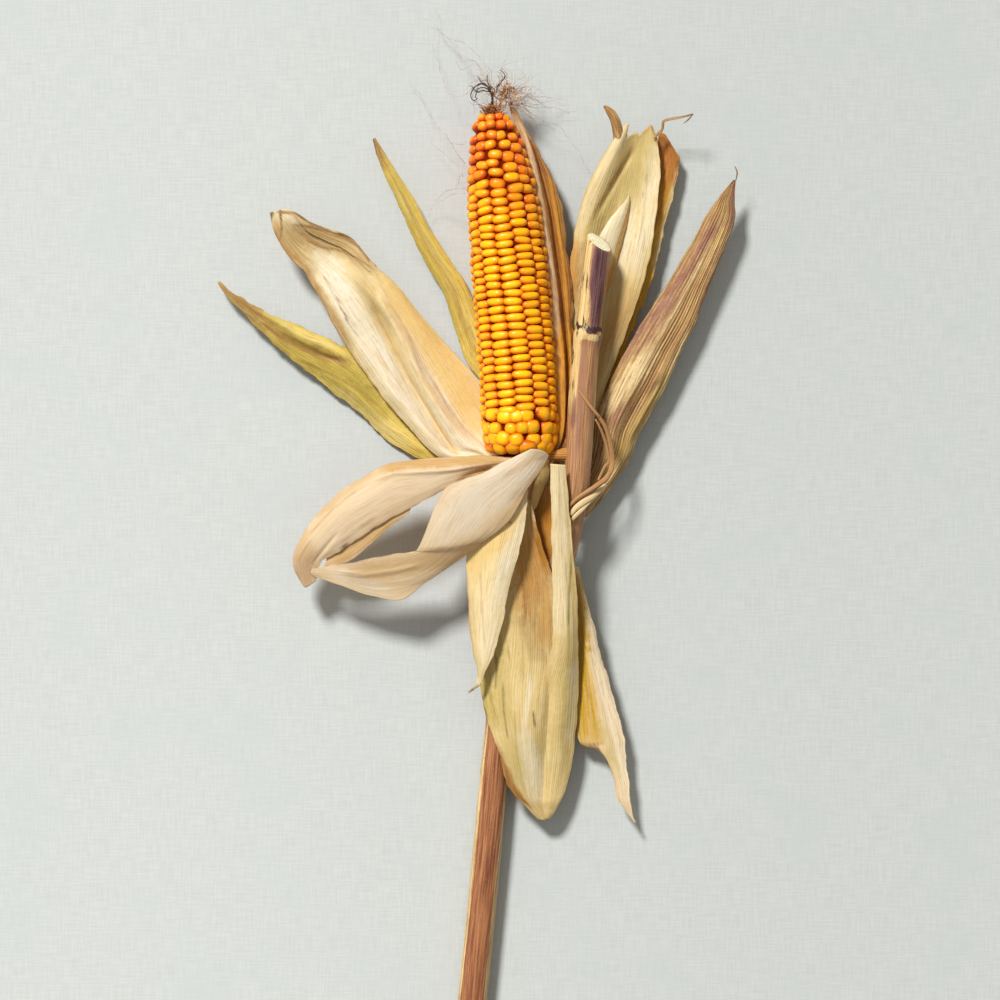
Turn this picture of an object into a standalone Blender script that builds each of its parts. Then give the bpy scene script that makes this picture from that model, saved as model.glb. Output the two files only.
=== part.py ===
"""An ear of field corn on its cut stalk, lying down, with the husk leaves peeled back.

Units are metres and +Z is up. The dimensions below are in millimetres, measured from the
ear's butt: X across the ear, Y along it towards the tip, Z up from the surface it lies on.
"""

import math

import bmesh
import bpy
from mathutils import Vector

MM = 0.001

# Driving dimensions, in millimetres.
BUTT_PLACE = (22.7, 31.5, 0.0)  # the ear's butt, from the middle of the whole part on the floor
EAR_LENGTH = 186.0
EAR_AXIS_HEIGHT = 24.0  # at the butt
EAR_FALL = 0.0315  # how far the axis comes down for each millimetre towards the tip
EAR_BEND = 15.0  # how far the tip leans to the left of the butt
EAR_BEND_POWER = 1.6
KERNEL_ROWS = 14
KERNELS_PER_ROW = 38
KERNEL_RELIEF = 1.3  # depth of the grooves between kernels
LEAF_THICKNESS = 0.9
LEAF_STEPS = 14
LEAF_COLUMNS = 4
STALK_SIDES = 14
STRAND_SIDES = 6
SLIVER_HALF_WIDTH = 1.3
STALK_CUT_POINT = (41.5, 112.5, 27.8)
STALK_CUT_NORMAL = (0.49, 0.76, 0.42)

# The ear's radius at distances along its axis from the butt.
EAR_PROFILE = [
    (0.0, 13.0), (2.0, 17.0), (6.0, 19.4), (15.0, 20.4), (50.0, 20.8), (100.0, 20.6),
    (130.0, 19.6), (150.0, 17.6), (165.0, 14.6), (175.0, 11.0), (182.0, 7.2), (186.0, 3.5),
]

# The stalk's centre line and radius, from the cut foot, through the joint that carries
# the ear and the joint beside the ear, to the slanting cut at the top.
STALK_LINE = [
    (-26.5, -300.0, 7.7, 7.6), (-21.5, -250.0, 7.9, 7.6), (-17.0, -205.0, 8.3, 7.6),
    (-13.0, -162.0, 9.0, 7.4), (-10.8, -139.0, 10.0, 7.4), (-10.0, -132.0, 10.4, 8.7),
    (-7.5, -125.0, 11.0, 7.0), (-1.5, -112.0, 12.4, 6.6), (8.0, -92.0, 15.0, 6.5),
    (17.0, -70.0, 18.2, 6.4), (23.3, -50.0, 21.3, 6.4), (27.0, -32.0, 24.0, 6.6),
    (29.5, -15.0, 26.0, 6.8), (31.3, 10.0, 27.0, 7.0), (33.2, 40.0, 27.0, 7.0),
    (34.8, 58.0, 27.0, 7.0), (35.5, 64.5, 27.0, 7.7), (36.3, 71.0, 27.0, 6.8),
    (38.7, 90.0, 27.4, 6.8), (43.0, 124.0, 28.2, 6.8),
]

# The shank that grows from the lower joint and flares under the ear.
SHANK_LINE = [
    (-10.0, -131.0, 10.4, 5.0), (-9.0, -118.0, 12.4, 5.6), (-7.5, -95.0, 15.7, 5.8),
    (-4.5, -65.0, 19.2, 6.0), (-2.0, -38.0, 22.2, 6.3), (-1.0, -22.0, 23.4, 7.2),
    (-0.5, -11.0, 23.9, 9.2), (-0.2, -5.0, 24.0, 12.0), (0.0, -0.8, 24.0, 13.2),
]

# Silk: the matted tuft at the tip of the cob and its longest strands.
TUFT_LINE = [
    (-15.0, 188.4, 18.4, 2.4), (-13.0, 191.0, 19.0, 3.0), (-9.5, 194.5, 20.0, 2.2),
    (-8.0, 197.5, 20.6, 0.8),
]
SILK_STRANDS = [
    [(-13, 191, 19, 0.8), (-20, 194.5, 21, 0.7), (-26, 193, 21, 0.6), (-27.5, 189.5, 20, 0.5),
     (-24.5, 188, 19, 0.5)],
    [(-11, 192, 19, 0.8), (-8, 198, 22, 0.7), (-10.5, 204, 23, 0.5)],
    [(-12, 191, 19, 0.7), (-22, 201, 19, 0.5), (-36, 212, 15, 0.45), (-44, 226, 9, 0.45),
     (-47, 238, 4, 0.45)],
    [(-9, 192, 19, 0.7), (8, 191, 20, 0.5), (22, 184, 20.5, 0.45), (33, 167, 19, 0.45),
     (40, 150, 21, 0.45)],
]

# Husk leaves. Each row crosses the leaf at one station from its base to its tip:
# one edge (x, y, z), the other edge (x, y, z), and how far the middle stands above them.
LEAVES = {
    "husk_left_outer": [
        ((-15, -13, 9), (-13, -4, 7), 0.5), ((-35, -9, 6), (-31, 7, 4), 1),
        ((-53, -1, 4), (-47, 18, 1.2), 1), ((-70, 10, 3.5), (-61, 31, 0.9), 1.5),
        ((-90, 28, 4.5), (-79, 47, 1.8), 2), ((-110, 43, 8), (-99, 60, 5), 2),
        ((-130, 61, 8), (-122, 71, 7), 1.5), ((-145, 75.5, 8), (-141.5, 80.5, 8), 0.5),
        ((-159.8, 92, 7), (-158.8, 93, 7), 0),
    ],
    "husk_left_broad": [
        ((-17, -8, 13), (-8, -1, 7.5), 0.5), ((-38, 0, 10.5), (-8, 14, 2.7), 1.5),
        ((-57, 14, 10), (-15, 30, 2.7), 4), ((-72, 31, 10), (-27, 44.5, 3.1), 5.5),
        ((-85, 48, 11), (-45, 65.5, 4.2), 6), ((-98, 69, 13), (-62, 87.5, 7), 5),
        ((-108, 88, 14), (-80, 105.5, 11), 1), ((-118, 103, 16), (-97, 117.5, 15), -4),
        ((-127, 113, 18), (-112, 124.5, 18), -4), ((-131.5, 128, 20), (-124, 130, 20), -1),
    ],
    "husk_left_narrow": [
        ((-7, -9, 8), (2, -9, 7.5), 0), ((-9, 12, 1.1), (3, 12, 1.1), 0),
        ((-15, 34, 0.8), (-4, 36, 0.8), 0), ((-24, 52, 1.5), (-13, 56, 1.0), 0.8),
        ((-37, 74, 5), (-26, 81, 3.5), 1.2), ((-45, 93, 6.5), (-35, 99, 5), 1.2),
        ((-55, 115, 8), (-46, 119, 7), 1), ((-64, 134, 9), (-57, 138, 8.5), 0.8),
        ((-72, 152, 9.5), (-67.5, 156, 9.5), 0.4), ((-78, 167, 9), (-76.8, 168.5, 9), 0),
    ],
    "husk_right_inner": [
        ((13.5, -3.5, 31), (15, -6, 28), 0), ((18, 1.5, 30.5), (21.5, 0.5, 27), 0),
        ((22, 13, 27), (25, 11, 18), -1), ((22, 40, 25), (29, 41, 15), -1.5),
        ((19.8, 75, 24), (28.5, 73, 13), -1.5), ((17.2, 105, 23), (26, 104, 12), -1),
        ((13.2, 132, 22), (22, 132, 12), -1), ((8.8, 152, 21), (17.5, 150, 12), -1),
        ((3.2, 167, 20.5), (10.5, 165, 14), -0.5), ((-3.2, 180, 20), (3, 179, 16), 0),
        ((-5.6, 188.5, 19), (-4.2, 189, 18), 0),
    ],
    "husk_right_broad": [
        ((14, -13, 14), (16, -18, 12), 0), ((20, 8, 9), (33, 2, 9), -0.5),
        ((23, 35, 7.5), (43, 31, 7.5), -2), ((24.5, 65, 8), (55, 62, 9), -3),
        ((26, 95, 10), (66, 93, 10.5), -4.5), ((30, 121, 15), (71.5, 120, 13), -7),
        ((38, 143, 19), (73.5, 141, 14.5), -8), ((48, 161, 19), (74, 158, 15), -6),
        ((58, 175.5, 17), (71, 173, 15), -2),
    ],
    "husk_right_back": [
        ((10, -19, 9), (13, -25, 9), 0), ((19, 10, 4), (37, 4, 4), 0),
        ((26, 35, 1.2), (47, 32, 2.5), 0), ((35, 65, 0.7), (57, 62, 3), 0.5),
        ((45, 95, 0.7), (68, 93, 3.5), 0.5), ((55, 122, 1), (75.5, 121, 5), 0),
        ((62, 143, 2.5), (81, 141, 7.5), 0), ((69, 157, 5), (86, 154, 9), 0),
        ((75, 169, 8), (79, 167.5, 8.5), 0),
    ],
    "husk_right_streaked": [
        ((10, -30, 14), (13, -37, 12), 0), ((25, -19, 12), (31, -34, 10), 1),
        ((34, -2, 12.5), (47, -11, 10.5), 1.5), ((41, 21, 12.5), (62, 13, 11), 3),
        ((49, 44, 12.5), (76, 35, 11.5), 3.5), ((60, 62, 13), (86, 56, 12), 4),
        ((74, 84, 14), (95, 78, 13), 3.5), ((87, 104, 15), (103, 98, 14), 3),
        ((98, 124, 16), (112, 119, 15), 2), ((107, 138, 16), (114, 133, 15.5), 1),
        ((113, 146, 16), (114.3, 145, 16), 0),
    ],
    "husk_front_upper": [
        ((-6, -2.5, 38.5), (-9, -8, 35.5), 0), ((-19, 0, 37), (-21, -9.5, 37.5), 1),
        ((-35, -1, 37.5), (-34, -14, 39.5), 1.5), ((-52, -1.5, 36.5), (-48, -22, 39.5), 3),
        ((-70, -5, 34), (-63, -30, 37), 3), ((-85, -13, 31), (-77, -38, 34), 3),
        ((-100, -23, 28), (-91, -46, 30), 2.5), ((-113, -37, 25), (-102, -53, 27), 2),
        ((-120, -52, 22.5), (-109, -61, 24), 1), ((-118, -64, 21), (-113, -68, 21), 0),
    ],
    "husk_front_tuck": [
        ((-58, -29, 34.8), (-60, -31, 34.6), 0), ((-67, -34, 33.2), (-69, -38, 32.8), 0),
        ((-78, -40, 31), (-80, -47, 30.5), -0.5), ((-88, -46, 28.5), (-89, -54, 28), -0.5),
        ((-101, -53, 25), (-103, -57.5, 24.5), 0),
    ],
    "husk_front_lower": [
        ((2, 1.5, 43.4), (15.5, 0.5, 37.5), 0), ((-13, -4, 44), (11, -9, 40.5), 0.5),
        ((-25, -10, 44), (5, -17, 42), 1), ((-36, -15, 43), (-2, -28, 42), 1.5),
        ((-44, -26, 41), (-11, -38, 40.5), 1.5), ((-49, -38, 38), (-17, -43, 38.5), 1),
        ((-53, -48.5, 34.5), (-23, -46.5, 36.5), 0), ((-60, -50.5, 33), (-35, -54, 33), 0.5),
        ((-70, -52.5, 32), (-50, -65, 30), 1), ((-80, -54, 31), (-64, -75.5, 27.5), 1.5),
        ((-90, -56, 30), (-82, -73.5, 27), 1), ((-103.5, -58.5, 28), (-101, -64, 26.5), 0),
    ],
    "husk_down_left": [
        ((-7, -12, 33), (2, -15, 34), 0), ((-17, -25, 36), (4, -24, 37.5), 0.5),
        ((-25, -40, 34), (1, -37, 37), 1), ((-28, -55, 31), (-1, -53, 35), 1),
        ((-27.5, -72, 28), (-6, -72, 32), 1), ((-27, -88, 26), (-9, -88, 30), 1),
        ((-25.5, -102, 25), (-14, -102, 28.5), 0.5), ((-22.3, -114, 24.5), (-19.7, -114, 26), 0),
        ((-21.6, -119, 24), (-20.6, -119, 25), 0),
    ],
    "husk_down_broad": [
        ((-4, -21, 32.6), (5, -24, 32.4), 0.5), ((-9, -40, 29), (12, -40, 30), 1.5),
        ((-13, -60, 25.5), (17, -60, 28), 3.5), ((-16, -80, 21), (21, -82, 23.5), 6),
        ((-19, -100, 17), (23, -103, 19), 8), ((-21, -121, 15.5), (23, -125, 15), 9),
        ((-17.5, -140, 18), (22, -147, 12), 7), ((-11, -158, 19.2), (20, -166, 11), 4),
        ((-4, -177, 14), (17, -181, 11), 3), ((6, -187, 11.5), (15.5, -189, 11), 1),
        ((12, -195, 11), (14.8, -196, 11), 0),
    ],
    "husk_down_strip": [
        ((9, -4.6, 36.6), (13.6, -2.6, 34.4), 0), ((15.7, -8, 37), (23.3, -7, 36), 0.3),
        ((16.3, -30, 36), (26, -30, 35.5), 0.3), ((17, -52, 33), (28, -52, 32), 0.5),
        ((17.5, -75, 30.5), (30, -74, 28), 1), ((17, -98, 29.5), (30.5, -97, 23), 1.5),
        ((16, -120, 26.5), (31, -119, 18), 2), ((15, -143, 23), (29, -142, 15), 2),
        ((15, -165, 17.5), (25, -165, 13.5), 1.5), ((15, -183, 14), (20, -183, 13), 0.5),
        ((14.6, -192.5, 13.4), (16.2, -192.5, 13.2), 0),
    ],
    "husk_down_right": [
        ((1, -58, 11.5), (5, -53, 12), 0), ((16, -68, 9), (24, -60, 11), 0),
        ((24, -80, 9.5), (35, -78, 14), -0.5), ((27, -98, 10.5), (40.5, -97, 17.5), -2),
        ((28.5, -116, 10.5), (46, -115, 18), -3), ((29.5, -134, 9), (51, -133, 18), -3),
        ((31.5, -150, 8), (54.3, -149, 17), -2.5), ((44, -160, 9.5), (56, -162, 15.5), -1),
        ((50.3, -175, 10), (58, -178, 13), -0.5), ((57, -188.5, 10.5), (59.3, -189.5, 11.5), 0),
        ((61.5, -195, 11), (62.3, -194.4, 11), 0),
    ],
}
GREEN_LEAVES = {"husk_left_outer", "husk_left_narrow", "husk_down_broad", "husk_right_back"}

# Slivers torn from the husk, as centre lines of narrow ribbons.
SLIVERS = {
    "sliver_curled": [
        (31, 34, 36.5), (36, 27, 36.2), (42, 19, 33), (47, 9, 29), (50, -2, 26.5),
        (49, -10, 27), (43.5, -15.5, 30), (36, -20, 33.2), (29.2, -24, 33.4),
    ],
    "sliver_straight": [
        (46, -14.5, 24.5), (40.5, -20, 29), (34, -26, 32.6), (29.6, -30.5, 33.2),
    ],
}

# Base colour and roughness of each finish.
FINISHES = {
    "kernels": ((0.86, 0.36, 0.02), 0.30),
    "husk_pale": ((0.78, 0.62, 0.38), 0.65),
    "husk_green": ((0.60, 0.50, 0.17), 0.65),
    "husk_streaked": ((0.55, 0.36, 0.24), 0.65),
    "stalk": ((0.42, 0.24, 0.15), 0.60),
    "silk": ((0.20, 0.09, 0.04), 0.70),
}


def clear_scene():
    for obj in list(bpy.data.objects):
        bpy.data.objects.remove(obj, do_unlink=True)


def make_finishes():
    made = {}
    for name, (colour, roughness) in FINISHES.items():
        material = bpy.data.materials.new(name)
        material.use_nodes = True
        shader = material.node_tree.nodes["Principled BSDF"]
        shader.inputs["Base Color"].default_value = (*colour, 1.0)
        shader.inputs["Roughness"].default_value = roughness
        shader.inputs["Metallic"].default_value = 0.0
        made[name] = material
    return made


def along(rows, share):
    """The point at this share (0 to 1) of a smooth curve through rows of numbers (Catmull-Rom)."""
    last = len(rows) - 1
    at = min(max(share, 0.0), 1.0) * last
    i = min(int(at), last - 1)
    t = at - i
    p0, p1, p2, p3 = (rows[min(max(i + k, 0), last)] for k in (-1, 0, 1, 2))
    return [
        0.5 * (2 * b + (c - a) * t + (2 * a - 5 * b + 4 * c - d) * t**2 + (3 * b - a - 3 * c + d) * t**3)
        for a, b, c, d in zip(p0, p1, p2, p3)
    ]


def ear_radius(y):
    """The ear's radius at distance y from the butt, on straight runs between its profile's points."""
    for (y0, r0), (y1, r1) in zip(EAR_PROFILE, EAR_PROFILE[1:]):
        if y <= y1:
            return r0 + (r1 - r0) * (y - y0) / (y1 - y0)
    return EAR_PROFILE[-1][1]


def ear_axis(y):
    lean = EAR_BEND * (y / EAR_LENGTH) ** EAR_BEND_POWER
    return Vector((-lean, y, EAR_AXIS_HEIGHT - EAR_FALL * y))


def grid_mesh(name, steps, columns, place, tube=False):
    """A mesh made from a grid: place(share along, share across) says where each corner goes, in mm.
    A tube's two long edges are joined and its ends are capped."""
    bm = bmesh.new()
    bmesh.ops.create_grid(bm, x_segments=steps, y_segments=columns, size=0.5)
    for vertex in bm.verts:
        vertex.co = place(vertex.co.x + 0.5, vertex.co.y + 0.5) * MM
    if tube:
        bmesh.ops.remove_doubles(bm, verts=bm.verts, dist=1e-6)
        ends = [edge for edge in bm.edges if edge.is_boundary]
        bmesh.ops.holes_fill(bm, edges=ends, sides=0)
        bmesh.ops.recalc_face_normals(bm, faces=bm.faces)
    mesh = bpy.data.meshes.new(name)
    bm.to_mesh(mesh)
    bm.free()
    return mesh


def add_object(name, mesh, finish, parent):
    mesh.materials.append(finish)
    obj = bpy.data.objects.new(name, mesh)
    bpy.context.scene.collection.objects.link(obj)
    obj.parent = parent
    return obj


def swept_tube(name, line, sides, steps):
    """A round tube along rows of (x, y, z, radius)."""
    nudge = 0.001

    def place(share, turn):
        x, y, z, radius = along(line, share)
        ahead = Vector(along(line, share + nudge)[:3]) - Vector(along(line, share - nudge)[:3])
        forward = ahead.normalized()
        side = forward.cross(Vector((0, 0, 1))).normalized()
        lift = side.cross(forward)
        angle = 2 * math.pi * turn
        return Vector((x, y, z)) + radius * (math.cos(angle) * side + math.sin(angle) * lift)

    return grid_mesh(name, steps, sides, place, tube=True)


def build_ear(finish, parent):
    """The cob with its kernels: a curved, tapering body with a bump for each kernel."""
    columns = 2 * KERNEL_ROWS
    steps = 2 * KERNELS_PER_ROW

    def place(share, turn):
        y = EAR_LENGTH * share
        step = round(share * steps)
        column = round(turn * columns)
        inner = 0 < step < steps
        groove = KERNEL_RELIEF * inner * max(step % 2 == 0, column % 2 == 1)
        radius = ear_radius(y) - groove * min(1.0, ear_radius(y) / 15.0)
        angle = 2 * math.pi * turn
        across = Vector((math.cos(angle), 0.0, math.sin(angle)))
        return ear_axis(y) + radius * across

    mesh = grid_mesh("ear", steps, columns, place, tube=True)
    mesh.shade_smooth()
    return add_object("ear", mesh, finish, parent)


def cut_end(mesh, point, normal):
    """Cuts a mesh with a plane, takes away the side that the normal points to, and closes the cut."""
    bm = bmesh.new()
    bm.from_mesh(mesh)
    everything = bm.verts[:] + bm.edges[:] + bm.faces[:]
    bmesh.ops.bisect_plane(
        bm, geom=everything, plane_co=Vector(point) * MM, plane_no=Vector(normal), clear_outer=True
    )
    rim = [edge for edge in bm.edges if edge.is_boundary]
    bmesh.ops.holes_fill(bm, edges=rim, sides=0)
    bmesh.ops.recalc_face_normals(bm, faces=bm.faces)
    bm.to_mesh(mesh)
    bm.free()


def join_to(obj, other):
    """Makes other one solid with obj, and hides what is left of it."""
    union = obj.modifiers.new("join_" + other.name, "BOOLEAN")
    union.operation = "UNION"
    union.object = other
    other.hide_render = True
    other.display_type = "WIRE"


def build_stalk(finish, parent):
    """The stalk with its two joints, and the shank that carries the ear, grown as one piece."""
    mesh = swept_tube("stalk", STALK_LINE, STALK_SIDES, 3 * (len(STALK_LINE) - 1))
    cut_end(mesh, STALK_CUT_POINT, STALK_CUT_NORMAL)
    stalk = add_object("stalk", mesh, finish, parent)
    shank_mesh = swept_tube("shank_core", SHANK_LINE, STALK_SIDES, 2 * (len(SHANK_LINE) - 1))
    shank = add_object("shank_core", shank_mesh, finish, parent)
    join_to(stalk, shank)
    return stalk


def build_silk(finish, parent):
    """The matted tuft of silk with its longest strands, joined in one solid."""
    tuft_mesh = swept_tube("silk", TUFT_LINE, 2 * STRAND_SIDES, 4 * (len(TUFT_LINE) - 1))
    tuft = add_object("silk", tuft_mesh, finish, parent)
    for number, line in enumerate(SILK_STRANDS):
        name = f"silk_strand_core_{number}"
        strand_mesh = swept_tube(name, line, STRAND_SIDES, 4 * (len(line) - 1))
        join_to(tuft, add_object(name, strand_mesh, finish, parent))
    return tuft


def thicken(obj):
    solid = obj.modifiers.new("thickness", "SOLIDIFY")
    solid.thickness = LEAF_THICKNESS * MM
    solid.offset = 0.0


def build_leaf(name, rows, finish, parent):
    """A husk leaf: a sheet lofted between its two edges and arched by its crown, with a thickness."""
    flat_rows = [(*one, *other, crown) for one, other, crown in rows]

    def place(share, across):
        numbers = along(flat_rows, share)
        one, other, crown = Vector(numbers[:3]), Vector(numbers[3:6]), numbers[6]
        point = one.lerp(other, across)
        point.z += crown * (1 - (2 * across - 1) ** 2)
        return point

    leaf = add_object(name, grid_mesh(name, LEAF_STEPS, LEAF_COLUMNS, place), finish, parent)
    thicken(leaf)
    return leaf


def build_sliver(name, line, finish, parent):
    """A narrow torn ribbon that lies flat along its line and comes to a point at its end."""
    nudge = 0.001

    def place(share, across):
        point = Vector(along(line, share))
        ahead = Vector(along(line, share + nudge)) - Vector(along(line, share - nudge))
        side = ahead.cross(Vector((0, 0, 1))).normalized()
        half = SLIVER_HALF_WIDTH * (1.0 - 0.5 * share)
        return point + side * half * (2 * across - 1)

    sliver = add_object(name, grid_mesh(name, 3 * (len(line) - 1), 2, place), finish, parent)
    thicken(sliver)
    return sliver


def build_part():
    clear_scene()
    finishes = make_finishes()
    butt = bpy.data.objects.new("ear_butt", None)
    butt.location = Vector(BUTT_PLACE) * MM
    bpy.context.scene.collection.objects.link(butt)

    build_ear(finishes["kernels"], butt)
    build_stalk(finishes["stalk"], butt)
    build_silk(finishes["silk"], butt)
    for name, rows in LEAVES.items():
        finish = "husk_green" if name in GREEN_LEAVES else "husk_pale"
        if name == "husk_right_streaked":
            finish = "husk_streaked"
        build_leaf(name, rows, finishes[finish], butt)
    for name, line in SLIVERS.items():
        build_sliver(name, line, finishes["husk_streaked"], butt)


build_part()
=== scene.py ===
import math
import random

import bmesh
import bpy
from mathutils import Matrix, Vector, noise


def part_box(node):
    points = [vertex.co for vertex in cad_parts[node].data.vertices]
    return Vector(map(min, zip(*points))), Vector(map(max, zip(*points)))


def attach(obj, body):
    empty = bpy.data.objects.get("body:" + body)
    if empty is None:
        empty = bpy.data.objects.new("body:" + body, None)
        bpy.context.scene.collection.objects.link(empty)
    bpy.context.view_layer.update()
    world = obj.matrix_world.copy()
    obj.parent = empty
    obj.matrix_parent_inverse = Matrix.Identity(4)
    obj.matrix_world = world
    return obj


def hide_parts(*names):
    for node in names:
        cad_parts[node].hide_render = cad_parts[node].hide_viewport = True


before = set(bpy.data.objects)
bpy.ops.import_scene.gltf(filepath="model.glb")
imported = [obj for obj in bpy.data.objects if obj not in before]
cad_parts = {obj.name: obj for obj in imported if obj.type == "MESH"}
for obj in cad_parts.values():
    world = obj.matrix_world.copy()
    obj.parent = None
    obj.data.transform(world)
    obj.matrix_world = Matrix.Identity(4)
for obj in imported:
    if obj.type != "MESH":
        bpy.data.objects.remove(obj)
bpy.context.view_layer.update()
scene = bpy.context.scene
mm = 0.001
noise.seed_set(5)  # noise vectors would start from the clock without it

# Places are in millimetres from the ear's butt: X across the ear, Y towards its tip, Z up.
earLow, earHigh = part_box("ear")
butt = Vector((earHigh.x / mm - 20.1, earLow.y / mm, 0.0))
print("frame loaded, ear's butt at", butt)


def smoothStep(low, high, value):
    share = min(max((value - low) / (high - low), 0.0), 1.0)
    return share * share * (3 - 2 * share)


def along(rows, share):
    # the point at this share of a smooth curve through the rows
    last = len(rows) - 1
    spot = min(max(share, 0.0), 1.0) * last
    i = min(int(spot), last - 1)
    t = spot - i
    a, b, c, d = (rows[min(max(i + k, 0), last)] for k in (-1, 0, 1, 2))
    return 0.5 * (2 * b + (c - a) * t + (2 * a - 5 * b + 4 * c - d) * t * t + (3 * b - a - 3 * c + d) * t**3)


def rough(place, size, seed=0.0):
    # smooth noise from -1 to 1, whose bumps are about this many millimetres apart
    return noise.noise(place / size + Vector((seed, seed * 1.7, seed * 0.3)))


def measured(points):
    # how far along the line each point is
    reach = [0.0]
    for one, two in zip(points, points[1:]):
        reach.append(reach[-1] + (two.xyz - one.xyz).length)
    return reach


class Graph:
    # a material's nodes, made and joined in short lines
    def __init__(self, name):
        self.material = bpy.data.materials.new(name)
        self.material.use_nodes = True
        self.tree = self.material.node_tree
        self.shader = self.tree.nodes["Principled BSDF"]
        self.output = self.tree.nodes["Material Output"]

    def add(self, kind, inputs=None, **settings):
        made = self.tree.nodes.new(kind)
        for key, value in settings.items():
            setattr(made, key, value)
        for key, value in (inputs or {}).items():
            self.put(made.inputs[key], value)
        return made

    def put(self, socket, value):
        if isinstance(value, bpy.types.NodeSocket):
            self.tree.links.new(value, socket)
        elif isinstance(value, bpy.types.Node):
            self.tree.links.new(value.outputs[0], socket)
        else:
            socket.default_value = value

    def surface(self, name, value):
        self.put(self.shader.inputs[name], value)

    def place(self):
        return self.add("ShaderNodeTexCoord").outputs["Object"]

    def painted(self, name):
        # a painted layer's red, green, blue and alpha
        layer = self.add("ShaderNodeAttribute", attribute_name=name).outputs
        return [*self.add("ShaderNodeSeparateColor", {0: layer["Color"]}).outputs, layer["Alpha"]]

    def math(self, operation, one, two):
        return self.add("ShaderNodeMath", {0: one, 1: two}, operation=operation).outputs[0]

    def span(self, value, low, high, newLow=0.0, newHigh=1.0):
        inputs = {"Value": value, 1: low, 2: high, 3: newLow, 4: newHigh}
        return self.add("ShaderNodeMapRange", inputs, interpolation_type="SMOOTHSTEP").outputs[0]

    def mix(self, factor, one, two, blend="MIX"):
        made = self.add("ShaderNodeMix", data_type="RGBA", blend_type=blend)
        self.put(made.inputs[0], factor)
        self.put(made.inputs[6], one)
        self.put(made.inputs[7], two)
        return made.outputs[2]

    def noise(self, place, scale, detail=4.0, roughness=0.55, stretch=None):
        if stretch:
            place = self.add("ShaderNodeMapping", {"Vector": place, "Scale": stretch}).outputs[0]
        inputs = {"Vector": place, "Scale": scale, "Detail": detail, "Roughness": roughness}
        return self.add("ShaderNodeTexNoise", inputs).outputs[0]

    def bump(self, height, distance, strength=1.0, under=None):
        inputs = {"Height": height, "Distance": distance, "Strength": strength}
        if under:
            inputs["Normal"] = under
        return self.add("ShaderNodeBump", inputs).outputs[0]


def rgb(red, green, blue):
    return (red, green, blue, 1.0)


studio = {
    "viewWidth": 530.0,  # millimetres across the view, at the floor
    "centre": (-10.6, -22.8),
    "cameraHeight": 3.0,  # metres
    "sensor": 36.0,
    "keyFrom": (-0.5, 0.87, 1.00),  # direction of the main light
    "keySpread": 0.2,  # radians: how soft its shadows are
    "keyPower": 4.6,
    "fillPower": 0.42,
    "floorSize": 4.0,  # metres from its middle to its edge
    "floorColour": (0.487, 0.518, 0.52),
    "threads": 1100.0, "threadWidth": 0.07,  # how fine the cloth is, and how narrow beside its length
    "lightFalls": (-0.22, 0.22),  # metres along X between which the floor's colour gets darker, as painted fall-off of the light
    "lightFrom": 1.05, "lightTo": 0.925,
}


def clothMaterial():
    # pale cloth with faint threads both ways, darkened along X as painted light fall-off
    g = Graph("paleCloth")
    place = g.place()
    threads, narrow = studio["threads"], studio["threadWidth"]
    down = g.noise(place, threads, 3.0, 0.6, stretch=(1.0, narrow, 1.0))
    across = g.noise(place, threads, 3.0, 0.6, stretch=(narrow, 1.0, 1.0))
    weave = g.math("MULTIPLY", g.math("ADD", down, across), 0.5)
    red, green, blue = studio["floorColour"]
    colour = g.mix(g.span(weave, 0.36, 0.64), rgb(0.94 * red, 0.945 * green, 0.95 * blue),
                   rgb(1.05 * red, 1.05 * green, 1.055 * blue))
    cloud = g.noise(place, 22.0, 3.0)
    colour = g.mix(g.span(cloud, 0.45, 0.7, 0.0, 0.5), colour, rgb(0.95 * red, 0.97 * green, blue))
    # painted light: the colour is darkened towards +X, where the light falls off across the floor
    x = g.add("ShaderNodeSeparateXYZ", {0: place}).outputs[0]
    near, far = rgb(*[studio["lightFrom"]] * 3), rgb(*[studio["lightTo"]] * 3)
    paintedFalloff = g.mix(g.span(x, *studio["lightFalls"]), near, far)
    colour = g.mix(1.0, colour, paintedFalloff, "MULTIPLY")
    g.surface("Base Color", colour)
    g.surface("Roughness", 0.9)
    g.surface("Specular IOR Level", 0.2)
    g.surface("Normal", g.bump(weave, 0.0003, 0.4))
    return g.material


def addStudio():
    width = studio["viewWidth"] * mm
    middle = (butt + Vector((*studio["centre"], 0))) * mm
    camera = bpy.data.cameras.new("camera")
    camera.sensor_width = studio["sensor"]
    camera.lens = studio["sensor"] * studio["cameraHeight"] / width
    holder = bpy.data.objects.new("camera", camera)
    holder.location = middle + Vector((0, 0, studio["cameraHeight"]))
    scene.collection.objects.link(holder)
    scene.camera = holder

    key = bpy.data.lights.new("keyLight", "SUN")
    key.energy = studio["keyPower"]
    key.angle = studio["keySpread"]
    key.color = (1.0, 0.97, 0.92)
    lamp = bpy.data.objects.new("keyLight", key)
    toKey = Vector(studio["keyFrom"]).normalized()
    lamp.location = middle + toKey
    lamp.rotation_euler = toKey.to_track_quat("Z", "Y").to_euler()
    scene.collection.objects.link(lamp)

    world = bpy.data.worlds.new("softLight")
    world.use_nodes = True
    back = world.node_tree.nodes["Background"]
    back.inputs["Color"].default_value = (1.0, 0.96, 0.87, 1)
    back.inputs["Strength"].default_value = studio["fillPower"]
    scene.world = world
    scene.view_settings.view_transform = "Standard"

    bm = bmesh.new()
    bmesh.ops.create_grid(bm, x_segments=1, y_segments=1, size=studio["floorSize"])
    mesh = bpy.data.meshes.new("floor")
    bm.to_mesh(mesh)
    bm.free()
    mesh.materials.append(clothMaterial())
    floor = bpy.data.objects.new("floor", mesh)
    scene.collection.objects.link(floor)


addStudio()
print("studio ready")


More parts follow.
